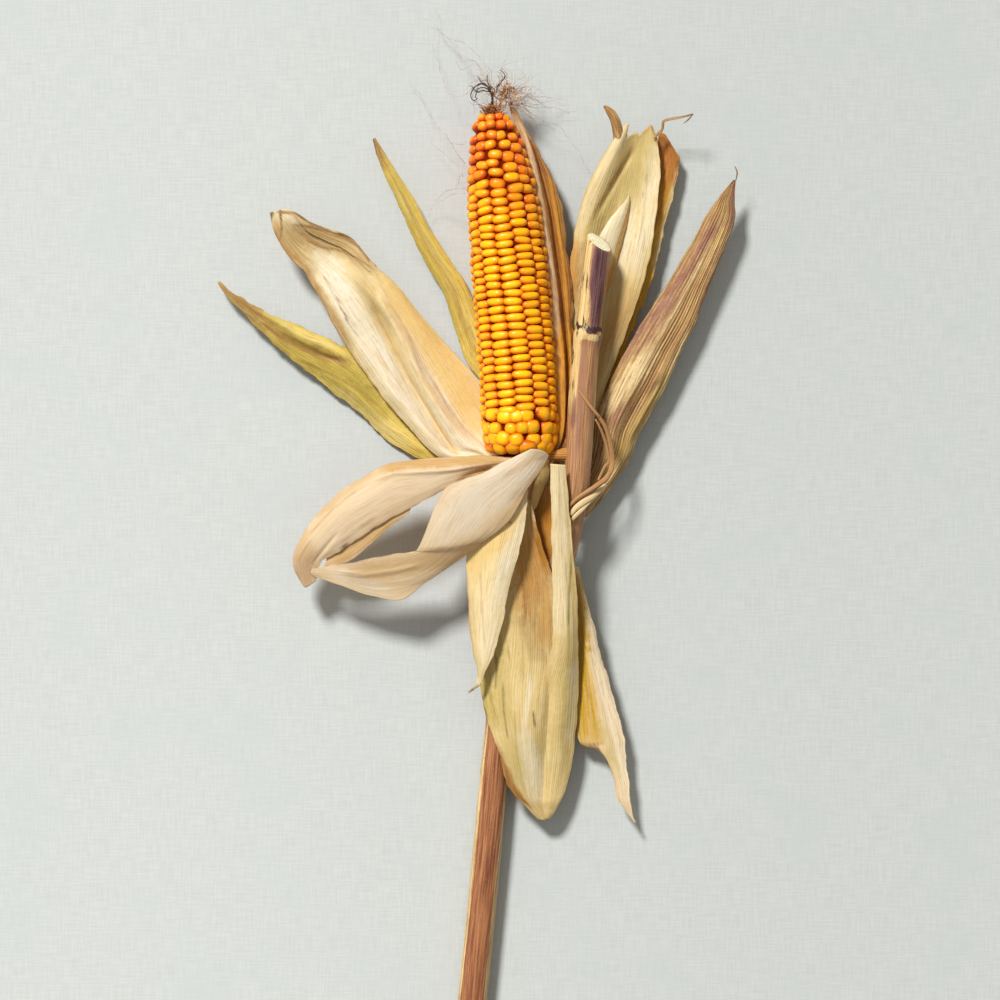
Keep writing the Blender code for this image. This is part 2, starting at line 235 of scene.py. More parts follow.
def gridCells(bm, columns, steps):
    # the vertices of a flat grid, by step and column
    made = bmesh.ops.create_grid(bm, x_segments=columns, y_segments=steps, size=0.5)["verts"]
    return {(round((v.co.y + 0.5) * steps), round((v.co.x + 0.5) * columns)): v for v in made}


def toFrame(bm):
    # from millimetres off the ear's butt to metres in the shared frame
    for vertex in bm.verts:
        vertex.co = (butt + vertex.co) * mm


def addPiece(bm, name, material, slotName, *nodes):
    mesh = bpy.data.meshes.new(name)
    bm.to_mesh(mesh)
    bm.free()
    for finish in material if isinstance(material, list) else [material]:
        mesh.materials.append(finish)
    mesh.shade_smooth()
    piece = bpy.data.objects.new(name, mesh)
    scene.collection.objects.link(piece)
    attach(piece, "root")
    if nodes:
        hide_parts(*nodes)
    return piece


cob = {
    "length": 186.0, "height": 24.0, "fall": 0.0315, "bend": 15.0, "bendPower": 1.6,
    "profile": [(0.0, 13.0), (2.0, 17.0), (6.0, 19.4), (15.0, 20.4), (50.0, 20.8), (100.0, 20.6),
                (130.0, 19.6), (150.0, 17.6), (165.0, 14.6), (175.0, 11.0), (182.0, 7.2), (186.0, 3.5)],
    "rows": 12,
    "pitch": 4.3,  # from kernel to kernel along a row
    "twist": 0.003,  # how far the rows turn for each millimetre
    "rowsFrom": 25.0, "rowsTo": 171.5,
    "kernelDepth": 3.2,
    # rings of rounder kernels at both ends: place along Y, width and length of a kernel
    "endRings": [(2.6, 8.4, 7.6), (8.8, 8.2, 7.6), (15.0, 8.0, 7.2), (21.0, 8.0, 6.8),
                 (174.8, 6.3, 5.6), (179.2, 5.8, 5.0)],
    "coreSteps": 48, "coreSides": 28,
    "coreUnder": 2.6,  # how far the bare cob lies under the kernels' crowns
    "seed": 11,
}


def cobRadius(y):
    rows = cob["profile"]
    for (y0, r0), (y1, r1) in zip(rows, rows[1:]):
        if y <= y1:
            return r0 + (r1 - r0) * (y - y0) / (y1 - y0)
    return rows[-1][1]


def cobAxis(y):
    lean = cob["bend"] * (max(y, 0) / cob["length"]) ** cob["bendPower"]
    return Vector((-lean, y, cob["height"] - cob["fall"] * y))


pillowPower = 2.7  # 2 gives a ball, more gives a squarer kernel


def kernelTemplate():
    # a pillow: a cube with rounded sides, three faces along each edge
    bm = bmesh.new()
    bmesh.ops.create_cube(bm, size=2.0)
    bmesh.ops.subdivide_edges(bm, edges=bm.edges, cuts=2, use_grid_fill=True)
    for vertex in bm.verts:
        vertex.co /= sum(abs(c) ** pillowPower for c in vertex.co) ** (1 / pillowPower)
    mesh = bpy.data.meshes.new("kernelShape")
    bm.to_mesh(mesh)
    bm.free()
    return mesh


def kernelMaterial():
    g = Graph("glossyKernel")
    hue, height, pale, _ = g.painted("kernelTint")
    place = g.place()
    mottle = g.noise(place, 700.0, 3.0)
    # yellow crowns and deep red sides: partly the kernels' own colour and partly painted light, with lighter
    # tops and the darkest red low on the sides as painted shade in the gaps between kernels
    crown = g.mix(hue, rgb(1.0, 0.52, 0.002), rgb(0.88, 0.17, 0.0))
    middle = g.mix(hue, rgb(0.95, 0.32, 0.0), rgb(0.56, 0.04, 0.0))
    side = g.mix(hue, rgb(0.5, 0.062, 0.0), rgb(0.17, 0.007, 0.0))
    colour = g.mix(g.span(height, 0.52, 0.86), side, middle)
    colour = g.mix(g.span(height, 0.84, 0.985), colour, crown)
    colour = g.mix(g.math("MULTIPLY", g.math("MULTIPLY", pale, height), 0.4), colour, rgb(0.95, 0.46, 0.003))
    g.surface("Base Color", colour)
    g.surface("Roughness", g.span(mottle, 0.3, 0.7, 0.3, 0.42))
    g.surface("Specular IOR Level", 0.36)
    g.surface("Subsurface Weight", 0.08)
    g.surface("Subsurface Radius", (1.0, 0.35, 0.08))
    g.surface("Subsurface Scale", 0.0018)
    g.surface("Normal", g.bump(g.noise(place, 900.0, 2.0), 0.00008, 0.6))
    return g.material


def coreMaterial():
    g = Graph("redBrownCob")
    place = g.place()
    grain = g.noise(place, 1500.0)
    height = g.add("ShaderNodeSeparateXYZ", {0: place}).outputs[1]
    bare = g.span(height, (butt.y + 176) * mm, (butt.y + 183) * mm)
    colour = g.mix(grain, rgb(0.07, 0.003, 0.0), rgb(0.18, 0.014, 0.0))
    brown = g.mix(grain, rgb(0.1, 0.035, 0.012), rgb(0.34, 0.13, 0.05))
    g.surface("Base Color", g.mix(bare, colour, brown))
    g.surface("Roughness", 0.8)
    g.surface("Specular IOR Level", 0.05)
    g.surface("Normal", g.bump(grain, 0.0003, 0.8))
    return g.material


def addEar():
    dice = random.Random(cob["seed"])
    template = kernelTemplate()
    bm = bmesh.new()
    tint = bm.verts.layers.float_color.new("kernelTint")

    def kernel(y, angle, across, length, hue, pale, lift, tilt):
        # one kernel whose crown stands at the cob's surface
        radius = cobRadius(y)
        slope = math.atan2(cobRadius(min(y + 2, 186)) - cobRadius(max(y - 2, 0)), 4.0)
        outward = Vector((math.cos(angle), 0, math.sin(angle)))
        bendSlope = (cobAxis(y + 1) - cobAxis(y - 1)).normalized()
        up = (outward * math.cos(slope) - bendSlope * math.sin(slope)).normalized()
        ahead = (bendSlope - up * bendSlope.dot(up)).normalized()
        side = ahead.cross(up)
        depth = cob["kernelDepth"]
        centre = cobAxis(y) + outward * radius + up * (lift - depth)
        turn = Matrix((side, ahead, up)).transposed().to_4x4()
        wobble = Matrix.Rotation(math.radians(dice.gauss(0, tilt)), 4, "Z")
        wobble = wobble @ Matrix.Rotation(math.radians(dice.gauss(0, tilt)), 4, "X")
        size = Matrix.Diagonal((across / 2 * mm, length / 2 * mm, depth * mm, 1))
        place = Matrix.Translation((butt + centre) * mm) @ turn @ wobble @ size
        first = len(bm.verts)
        bm.from_mesh(template)
        bm.verts.ensure_lookup_table()
        for i in range(first, len(bm.verts)):
            vertex = bm.verts[i]
            # the second channel is the height within the kernel; the material darkens the low sides with it,
            # partly as painted shade in the gaps
            vertex[tint] = (hue, vertex.co.z * 0.5 + 0.5, pale, 1)
            vertex.co = place @ vertex.co

    def tipHue(y):
        return min(1.0, max(0.0, dice.gauss(0.12, 0.12) + smoothStep(112, 178, y) * dice.uniform(0.3, 1.05)))

    rows = cob["rows"]
    for row in range(rows):
        y = cob["rowsFrom"] + dice.uniform(-2.0, 2.0)
        while y < cob["rowsTo"]:
            radius = cobRadius(y)
            roundness = smoothStep(108, 160, y)
            angle = 2 * math.pi * row / rows + cob["twist"] * (y - 90)
            angle += dice.gauss(0, 0.014 + 0.05 * roundness)
            across = 2 * math.pi * radius / rows * (1.0 + dice.gauss(0, 0.035 + 0.03 * roundness))
            length = cob["pitch"] * (1.06 + 0.24 * roundness) * (1 + dice.gauss(0, 0.06))
            across *= 0.99 - 0.04 * roundness + 0.25 * smoothStep(165, 178, y)
            pale = max(0.0, dice.gauss(0.1, 0.25))
            kernel(y, angle, across, length, tipHue(y), pale, dice.gauss(0, 0.28), 4.0 + 6 * roundness)
            y += length * (0.945 + 0.02 * roundness)
    for y, across, length in cob["endRings"]:
        count = max(4, round(2 * math.pi * cobRadius(y) / across))
        start = dice.uniform(0, 6)
        for k in range(count):
            angle = start + 2 * math.pi * k / count + dice.gauss(0, 0.06)
            size = 1.04 + dice.gauss(0, 0.08)
            pale = max(0.0, dice.gauss(0.25, 0.25))
            kernel(y + dice.gauss(0, 0.7), angle, across * size, length * size, tipHue(y), pale,
                   dice.gauss(0.2, 0.4), 12)
    addPiece(bm, "kernels", kernelMaterial(), "kernels", "ear")

    # the red-brown cob between and under the kernels
    bm = bmesh.new()
    ends = []
    steps, sides = cob["coreSteps"], cob["coreSides"]
    for i in range(steps + 1):
        y = 0.3 + (cob["length"] - 1.6) * i / steps
        radius = cobRadius(y) - cob["coreUnder"] - 1.4 * smoothStep(172, 182, y)
        radius = max(0.8, radius) + 0.4 * dice.random()
        ring = bmesh.ops.create_circle(bm, cap_ends=False, segments=sides, radius=radius * mm)["verts"]
        bmesh.ops.rotate(bm, verts=ring, matrix=Matrix.Rotation(math.pi / 2, 3, "X"))
        bmesh.ops.translate(bm, verts=ring, vec=(butt + cobAxis(y)) * mm)
        edges = list({e for v in ring for e in v.link_edges})
        if ends:
            bmesh.ops.bridge_loops(bm, edges=ends + edges)
        ends = edges
    bmesh.ops.holes_fill(bm, edges=[e for e in bm.edges if e.is_boundary], sides=0)
    bmesh.ops.recalc_face_normals(bm, faces=bm.faces)
    addPiece(bm, "cobCore", coreMaterial(), "kernels")


addEar()
print("ear ready")


def huskMaterial(name, look):
    # dry leaf: fibres and ribs run along it; the marks give green, brown, purple and dark places, partly
    # stains and partly painted shade; the tones give painted highlights and golden painted shade
    g = Graph(name)
    place = g.add("ShaderNodeUVMap", uv_map="fibre").outputs[0]
    brown, green, purple, dark = g.painted("marks")
    # the tones layer holds mostly painted highlights (red) and golden painted shade (green)
    light, gold, _, _ = g.painted("tonesAndPaintedLight")
    fine = g.noise(place, 1.0, 6.0, 0.68, stretch=(8.5, 0.42, 1.0))
    broad = g.noise(place, 1.0, 3.0, 0.5, stretch=(2.0, 0.14, 1.0))
    veins = g.noise(place, 1.0, 4.0, 0.72, stretch=(17.0, 0.8, 1.0))
    speckle = g.noise(place, 11.0, 4.0, 0.75)
    cloud = g.noise(place, 0.9, 4.0, 0.6)
    streak = g.noise(place, 1.0, 6.0, 0.7, stretch=(10.0, 0.7, 1.0))
    fleck = g.noise(place, 1.0, 2.0, 0.7, stretch=(14.0, 2.2, 1.0))
    wave = {"Vector": place, "Scale": look.get("ribScale", 2.7), "Distortion": 0.9, "Detail": 1.0,
            "Detail Scale": 0.6}
    ribs = g.add("ShaderNodeTexWave", wave, bands_direction="X").outputs["Fac"]

    colour = g.mix(g.span(fine, 0.32, 0.7), look["dark"], look["base"])
    colour = g.mix(g.span(broad, 0.4, 0.72, 0.0, 0.6), colour, look["second"])
    colour = g.mix(g.span(cloud, 0.5, 0.78, 0.0, 0.35), colour, look["pale"])
    colour = g.mix(g.span(ribs, 0.0, 0.5, look.get("ribTone", 0.13), 0.0), colour, look["rib"])
    veined = look.get("veins", 0.5)

    def stainAndPaintedLight(amount, tone, grain, low=0.25):
        # a mark broken up by the fibres; it paints stains, and also painted highlights and painted shade
        return g.mix(g.math("MULTIPLY", amount, g.span(grain, 0.4, 0.58, low, 1.0)), colour, tone)

    # painted light: the pale tone lightens folds and crests that face the light, as painted highlights, and
    # the golden tone paints warm shade where a leaf lies in shadow or light comes through it
    colour = stainAndPaintedLight(light, look.get("light", rgb(0.87, 0.78, 0.58)), fine, 0.6)
    colour = stainAndPaintedLight(gold, look.get("gold", rgb(0.78, 0.54, 0.22)), fine, 0.55)
    colour = stainAndPaintedLight(green, look.get("green", rgb(0.5, 0.4, 0.16)), fine, 0.35)
    colour = stainAndPaintedLight(purple, look.get("purple", rgb(0.38, 0.18, 0.14)), streak)
    colour = stainAndPaintedLight(brown, look.get("brown", rgb(0.4, 0.2, 0.065)), streak, 0.3)
    colour = g.mix(g.span(veins, 0.34, 0.52, veined, 0.0), colour, look["rib"])
    colour = g.mix(g.span(speckle, 0.3, 0.45, 0.8 * veined, 0.0), colour, look["dark"])
    colour = g.mix(g.span(speckle, 0.56, 0.72, 0.0, veined), colour, look["pale"])
    colour = stainAndPaintedLight(dark, rgb(0.1, 0.05, 0.02), fleck, 0.6)
    specks = g.span(fleck, look.get("speckFrom", 0.7), 0.8, 0.0, look.get("speck", 0.5))
    colour = g.mix(specks, colour, rgb(0.26, 0.13, 0.04))

    g.surface("Base Color", colour)
    g.surface("Roughness", g.span(fine, 0.3, 0.7, 0.5, 0.66))
    g.surface("Specular IOR Level", 0.35)
    ridges = g.bump(ribs, 0.00022, look.get("ribBump", 0.3))
    normal = g.bump(veins, 0.00022, 0.5, g.bump(fine, 0.0003, 0.55, ridges))
    normal = g.bump(g.noise(place, 3.0, 5.0, 0.6), 0.00035, look.get("crinkle", 0.5), normal)
    g.surface("Normal", normal)
    glow = g.add("ShaderNodeBsdfTranslucent")
    g.put(glow.inputs["Color"], g.mix(0.62, colour, look.get("glow", rgb(0.8, 0.47, 0.12)), "MULTIPLY"))
    g.put(glow.inputs["Normal"], normal)
    blend = g.add("ShaderNodeMixShader", {0: look.get("through", 0.22), 1: g.shader, 2: glow})
    g.put(g.output.inputs["Surface"], blend)
    return g.material


looks = {
    "cream": {
        "base": rgb(0.91, 0.79, 0.48), "dark": rgb(0.83, 0.66, 0.33), "second": rgb(0.87, 0.71, 0.38),
        "pale": rgb(0.92, 0.85, 0.64), "rib": rgb(0.6, 0.4, 0.16), "green": rgb(0.53, 0.4, 0.165),
        "brown": rgb(0.5, 0.28, 0.1),
        "purple": rgb(0.28, 0.13, 0.045),
        "light": rgb(0.88, 0.84, 0.7), "gold": rgb(0.84, 0.61, 0.22),
    },
    "paper": {
        "base": rgb(0.89, 0.77, 0.53), "dark": rgb(0.82, 0.67, 0.42), "second": rgb(0.86, 0.72, 0.47),
        "pale": rgb(0.9, 0.84, 0.67), "rib": rgb(0.66, 0.48, 0.26), "ribScale": 4.2, "ribTone": 0.05,
        "ribBump": 0.1, "crinkle": 0.25, "speck": 0.1, "through": 0.42, "gold": rgb(0.68, 0.45, 0.17),
        "light": rgb(0.9, 0.86, 0.72), "veins": 0.32,
    },
    "yellowing": {
        "base": rgb(0.82, 0.66, 0.34), "dark": rgb(0.68, 0.51, 0.2), "second": rgb(0.75, 0.58, 0.25),
        "pale": rgb(0.88, 0.76, 0.5), "rib": rgb(0.46, 0.32, 0.1), "gold": rgb(0.6, 0.235, 0.005),
        "brown": rgb(0.36, 0.16, 0.04), "purple": rgb(0.34, 0.115, 0.05), "green": rgb(0.44, 0.35, 0.07),
        "light": rgb(0.87, 0.79, 0.58),
    },
    "twoTone": {
        "base": rgb(0.86, 0.7, 0.42), "dark": rgb(0.76, 0.55, 0.28), "second": rgb(0.82, 0.61, 0.33),
        "pale": rgb(0.89, 0.78, 0.57), "rib": rgb(0.58, 0.37, 0.16), "gold": rgb(0.56, 0.33, 0.0),
        "green": rgb(0.56, 0.47, 0.13), "light": rgb(0.92, 0.8, 0.58),
    },
    "torn": {
        "base": rgb(0.66, 0.38, 0.16), "dark": rgb(0.44, 0.21, 0.08), "second": rgb(0.56, 0.3, 0.12),
        "pale": rgb(0.84, 0.62, 0.36), "rib": rgb(0.3, 0.13, 0.05), "ribTone": 0.3,
    },
    "greenish": {
        "base": rgb(0.9, 0.72, 0.19), "dark": rgb(0.72, 0.54, 0.1), "second": rgb(0.82, 0.62, 0.14),
        "pale": rgb(0.92, 0.8, 0.42), "rib": rgb(0.4, 0.26, 0.05), "glow": rgb(0.8, 0.55, 0.08),
        "ribTone": 0.25, "green": rgb(0.36, 0.28, 0.04), "light": rgb(0.87, 0.77, 0.42),
        "gold": rgb(0.62, 0.42, 0.06), "purple": rgb(0.29, 0.14, 0.09), "brown": rgb(0.34, 0.17, 0.06),
        "veins": 0.75,
    },
    # a deep golden leaf; its saturated orange stands partly for painted glow, light coming through it in
    # shade
    "golden": {
        "base": rgb(0.82, 0.48, 0.03), "dark": rgb(0.58, 0.29, 0.01), "second": rgb(0.7, 0.38, 0.02),
        "through": 0.34,
        "pale": rgb(0.8, 0.6, 0.2), "rib": rgb(0.3, 0.15, 0.02), "glow": rgb(0.8, 0.45, 0.04),
        "ribTone": 0.25, "brown": rgb(0.5, 0.17, 0.045), "light": rgb(0.86, 0.7, 0.36),
    },
    "ruddy": {
        "base": rgb(0.64, 0.33, 0.11), "dark": rgb(0.41, 0.165, 0.035), "second": rgb(0.54, 0.24, 0.05),
        "through": 0.34,
        "pale": rgb(0.8, 0.55, 0.3), "rib": rgb(0.28, 0.11, 0.03), "ribTone": 0.3, "ribBump": 0.6,
        "light": rgb(0.84, 0.62, 0.38), "gold": rgb(0.84, 0.4, 0.04), "brown": rgb(0.4, 0.14, 0.025),
    },
    "streaked": {
        "base": rgb(0.74, 0.52, 0.2), "dark": rgb(0.42, 0.23, 0.09), "second": rgb(0.54, 0.32, 0.13),
        "pale": rgb(0.86, 0.68, 0.36), "rib": rgb(0.24, 0.1, 0.05), "ribScale": 1.9, "ribTone": 0.6,
        "ribBump": 0.9, "light": rgb(0.92, 0.75, 0.4), "green": rgb(0.44, 0.33, 0.08),
        "purple": rgb(0.31, 0.125, 0.095), "speck": 0.8, "speckFrom": 0.62, "veins": 0.75,
    },
}
husks = {name: huskMaterial(name + "Husk", look) for name, look in looks.items()}


# pale and gold are mostly painted light: highlights on lit folds, and warm shade with light coming through
channels = {"brown": 0, "green": 1, "purple": 2, "dark": 3, "pale": 4, "gold": 5}
leafSamples = 200  # places along a leaf that its length is measured at
leafFineness = 1.35  # multiplies every leaf's columns and steps
leafThickness = 0.32  # millimetres


def addMark(marks, u, v, channel, us, vs, strength, soft=0.12):
    # a mark fills a box across (us) and along (vs) the leaf, with soft borders
    inside = smoothStep(us[0] - soft, us[0] + soft, u) * (1 - smoothStep(us[1] - soft, us[1] + soft, u))
    inside *= smoothStep(vs[0] - soft, vs[0] + soft, v) * (1 - smoothStep(vs[1] - soft, vs[1] + soft, v))
    k = channels[channel]
    marks[k] = max(marks[k], inside * strength)


def howFar(x, y, points):
    # distance in the flat from a place to a line, and how far that is from the line's nearer end
    best, where = 1e9, 0.0
    passed = 0.0
    for (x0, y0), (x1, y1) in zip(points, points[1:]):
        dx, dy = x1 - x0, y1 - y0
        length = math.hypot(dx, dy) + 1e-9
        t = min(max(((x - x0) * dx + (y - y0) * dy) / length ** 2, 0.0), 1.0)
        away = math.hypot(x - x0 - t * dx, y - y0 - t * dy)
        if away < best:
            best, where = away, passed + t * length
        passed += length
    return best, min(where, passed - where)


def paint(leaf, spot, marks):
    # strokes are painted at their place in millimetres: colour, strength, half width, line
    wander = rough(spot, 5.0, 2.0) * 0.3 + rough(spot, 1.7, 8.0) * 0.25
    for channel, strength, half, points in leaf.get("strokes", []):
        reach = half * 2.2 + 1
        if not (min(x for x, y in points) - reach < spot.x < max(x for x, y in points) + reach
                and min(y for x, y in points) - reach < spot.y < max(y for x, y in points) + reach):
            continue
        away, inward = howFar(spot.x, spot.y, points)
        if away < half * 2:
            amount = 1 - smoothStep(0.4, 1.5, away / half + wander)
            amount *= 0.35 + 0.65 * smoothStep(0, 2.2 * half + 2, inward + 1.2 * half)
            k = channels[channel]
            marks[k] = max(marks[k], strength * amount)


def sheet(bm, leaf, net, part=""):
    # lays one sheet over a net of rows of points; each row crosses the leaf from one edge to the other
    fibre = bm.loops.layers.uv.get("fibre") or bm.loops.layers.uv.new("fibre")
    markLayer = bm.verts.layers.float_color["marks"]
    toneAndLightLayer = bm.verts.layers.float_color["tonesAndPaintedLight"]
    columns, steps = leaf.get("columns" + part, 44), leaf.get("steps" + part, 110)
    columns, steps = round(columns * leafFineness), round(steps * leafFineness)
    curves = [[Vector(point) for point in row] for row in net]
    spread = [[along(row, j / columns) for row in curves] for j in range(columns + 1)]
    middle = [along(spread[columns // 2], k / leafSamples) for k in range(leafSamples + 1)]
    reach = measured(middle)
    length = reach[-1]
    width = max((row[-1] - row[0]).length for row in curves)
    seed = leaf.get("seed", 1.0)
    shares = []
    for i in range(steps + 1):
        goal = length * i / steps
        k = next((n for n, r in enumerate(reach) if r >= goal), leafSamples)
        back = (reach[k] - goal) / (reach[k] - reach[k - 1] + 1e-9) if k else 0
        shares.append((k - back) / leafSamples)

    made = bmesh.ops.create_grid(bm, x_segments=columns, y_segments=steps, size=0.5)["verts"]
    places = {}
    for vertex in made:
        u, v = vertex.co.x + 0.5, vertex.co.y + 0.5
        share = shares[round(v * steps)]
        column = spread[round(u * columns)]
        torn = leaf.get("torn" + part)
        if torn:
            share *= 1 - along([Vector((cut, 0, 0)) for cut in torn], u).x * smoothStep(0.8, 1.0, share)
        places[vertex] = (u, v, share)
        vertex.co = along(column, share)
    for face in {f for vertex in made for f in vertex.link_faces}:
        for loop in face.loops:
            u, v, _ = places[loop.vert]
            loop[fibre].uv = (u * width / 10, v * length / 10)
    bm.normal_update()
    frayed = leaf.get("frayed", 0.14)
    for vertex in made:
        u, v, share = places[vertex]
        marks = [0.0] * 6
        for mark in leaf.get("marks" + part, []):
            addMark(marks, u, share, *mark)
        rim = abs(2 * u - 1)
        marks[0] = max(marks[0], leaf.get("rim", 0.35) * smoothStep(0.93, 1.0, rim))
        spot = vertex.co.copy()
        paint(leaf, spot, marks)
        vertex[markLayer] = marks[:4]
        # the tones layer carries the painted highlights and the golden painted shade
        vertex[toneAndLightLayer] = (marks[4], marks[5], 0.0, 1.0)
        run = Vector((u * width, v * length, 0))
        ribbing = rough(run, 2.6, seed) if not leaf.get("ribEvery") else math.sin(
            2 * math.pi * (u * width / leaf["ribEvery"] + 0.5 * rough(run, 30, seed)))
        stretched = Vector((u * width / leaf.get("foldSize", 2.4), v * length / 45, seed * 3))
        folds = noise.noise(stretched) * leaf.get("folds", 0.2)
        lift = rough(spot, 22, seed) * leaf.get("waves", 0.8) + folds + leaf.get("ribLift", 0.07) * ribbing
        lift += rim**5 * rough(run, 9, seed + 4) * leaf.get("ruffle", 0.8)
        ending = smoothStep(0.0, 0.06, v) * smoothStep(0.0, 0.05, 1 - v)
        if leaf.get("folded"):
            # a flap folded over rises and sinks with the leaf under it
            lift *= max(-1.0, min(1.0, vertex.normal.z / 0.3))
        vertex.co = spot + vertex.normal * lift * ending
        for height, half, points in leaf.get("creases", []):
            away, inward = howFar(spot.x, spot.y, points)
            if away < 3 * half:
                vertex.co.z += height * math.exp(-((away / half) ** 2)) * smoothStep(0, 9, inward)
        if rim > 0.6:
            outward = columnSide(spread, u, share, columns) * (1 if u > 0.5 else -1)
            waving = leaf.get("wavy", 0.7) * rough(run, 8, seed + 6) * smoothStep(0.6, 1.0, rim)
            fraying = frayed * rough(run, 2.2, seed + 9) * smoothStep(0.93, 1.0, rim)
            vertex.co += outward * ending * (waving + fraying)
    return made


def columnSide(spread, u, share, columns):
    # the direction across the leaf at its nearest edge
    j = columns if u > 0.5 else 1
    return (along(spread[j], share) - along(spread[j - 1], share)).normalized()


def addLeaf(name, leaf, material, slotName, *nodes):
    bm = bmesh.new()
    bm.verts.layers.float_color.new("marks")
    bm.verts.layers.float_color.new("tonesAndPaintedLight")
    sheet(bm, leaf, leaf["net"])
    for part in leaf.get("parts", []):
        sheet(bm, leaf, leaf["net" + part], part)
    toFrame(bm)
    piece = addPiece(bm, name, material, slotName, *nodes)
    solid = piece.modifiers.new("thickness", "SOLIDIFY")
    solid.thickness = leafThickness * mm
    solid.offset = 0.0
    print("leaf", name, len(piece.data.polygons), "faces a side")
    return piece


leftOuter = {
    "seed": 2.0, "columns": 30, "steps": 120, "frayed": 0.9, "wavy": 1.6, "waves": 0.7, "ruffle": 0.7,
    "strokes": [
        ("purple", 1, 6, [(-160, 93), (-152, 86), (-145, 79), (-141, 76)]),
        ("brown", 0.9, 5.5, [(-156, 89), (-146, 79), (-136, 70)]),
        ("brown", 0.9, 2.4, [(-148, 80), (-138, 71.5), (-128, 65), (-116, 58.5), (-104, 53), (-91, 50)]),
        ("dark", 0.35, 0.7, [(-142, 75), (-130, 66), (-118, 59.5), (-106, 54), (-92, 50.5)]),
        ("brown", 0.5, 0.8, [(-120, 52), (-108, 47), (-97, 42), (-86, 36), (-76, 27)]),
        ("brown", 0.45, 0.6, [(-112, 62), (-100, 55), (-90, 52)]),
        ("brown", 0.5, 1, [(-136, 66), (-126, 57), (-118, 49), (-112, 45)]),
        ("pale", 0.45, 3.4, [(-96, 35), (-84, 26), (-72, 15), (-60, 6)]),
        ("pale", 0.35, 2, [(-128, 70), (-112, 63), (-98, 58)]),
        ("green", 0.9, 6.5, [(-132, 66), (-118, 57), (-104, 49), (-90, 38), (-76, 25)]),
    ],
    "creases": [
        (-1.3, 1.6, [(-138, 71.5), (-128, 65), (-116, 58.5), (-104, 53), (-91, 50)]),
        (-0.5, 0.9, [(-120, 52), (-108, 47), (-97, 42), (-86, 36), (-76, 27)]),
    ],
    "net": [
        [(-15, -13, 9), (-14, -10, 10), (-13.5, -8, 10), (-13, -6, 9), (-13, -4, 7)],
        [(-35, -9, 6), (-34, -5, 7), (-33, -1, 6.5), (-32, 3, 6), (-31, 7, 4)],
        [(-53, -1, 4), (-51, 4, 6), (-49.5, 9, 4.5), (-48, 13, 4), (-47, 18, 1.2)],
        [(-70, 9.5, 3), (-67.5, 15, 5.8), (-65.3, 20.5, 3.6), (-63, 26, 4), (-61, 31, 1.4)],
        [(-90, 28, 4), (-87, 33, 7), (-84.5, 38.3, 4.3), (-81.5, 43.5, 5.5), (-79, 48, 2.4)],
        [(-107, 41, 6.3), (-104, 46.5, 9.3), (-101.7, 51.5, 6.3), (-99, 56.8, 8), (-97, 61, 5)],
        [(-120, 50.5, 7.8), (-117.8, 54.5, 9.6), (-115.8, 58.6, 7), (-113.9, 62.6, 8.6), (-112, 66.4, 6.4)],
        [(-133, 63, 7.8), (-130.9, 65.5, 9), (-128.9, 68, 7.2), (-127, 70.3, 8.4), (-125, 72.7, 7)],
        [(-146, 75, 7.8), (-144.8, 76.4, 8.7), (-143.6, 77.9, 7.7), (-142.3, 79.3, 8.4), (-141, 80.7, 7.6)],
        [(-155, 84.6, 8), (-154.2, 85.1, 8.4), (-153.4, 85.6, 8.1), (-152.5, 86.1, 8.3), (-151.6, 86.7, 8)],
        [(-159.9, 92.2, 7.2), (-159.6, 92.4, 7.3), (-159.4, 92.6, 7.3), (-159.1, 92.8, 7.2),
         (-158.9, 93, 7.1)],
    ],
}
addLeaf("huskLeftOuter", leftOuter, husks["greenish"], "husk_green", "husk_left_outer")

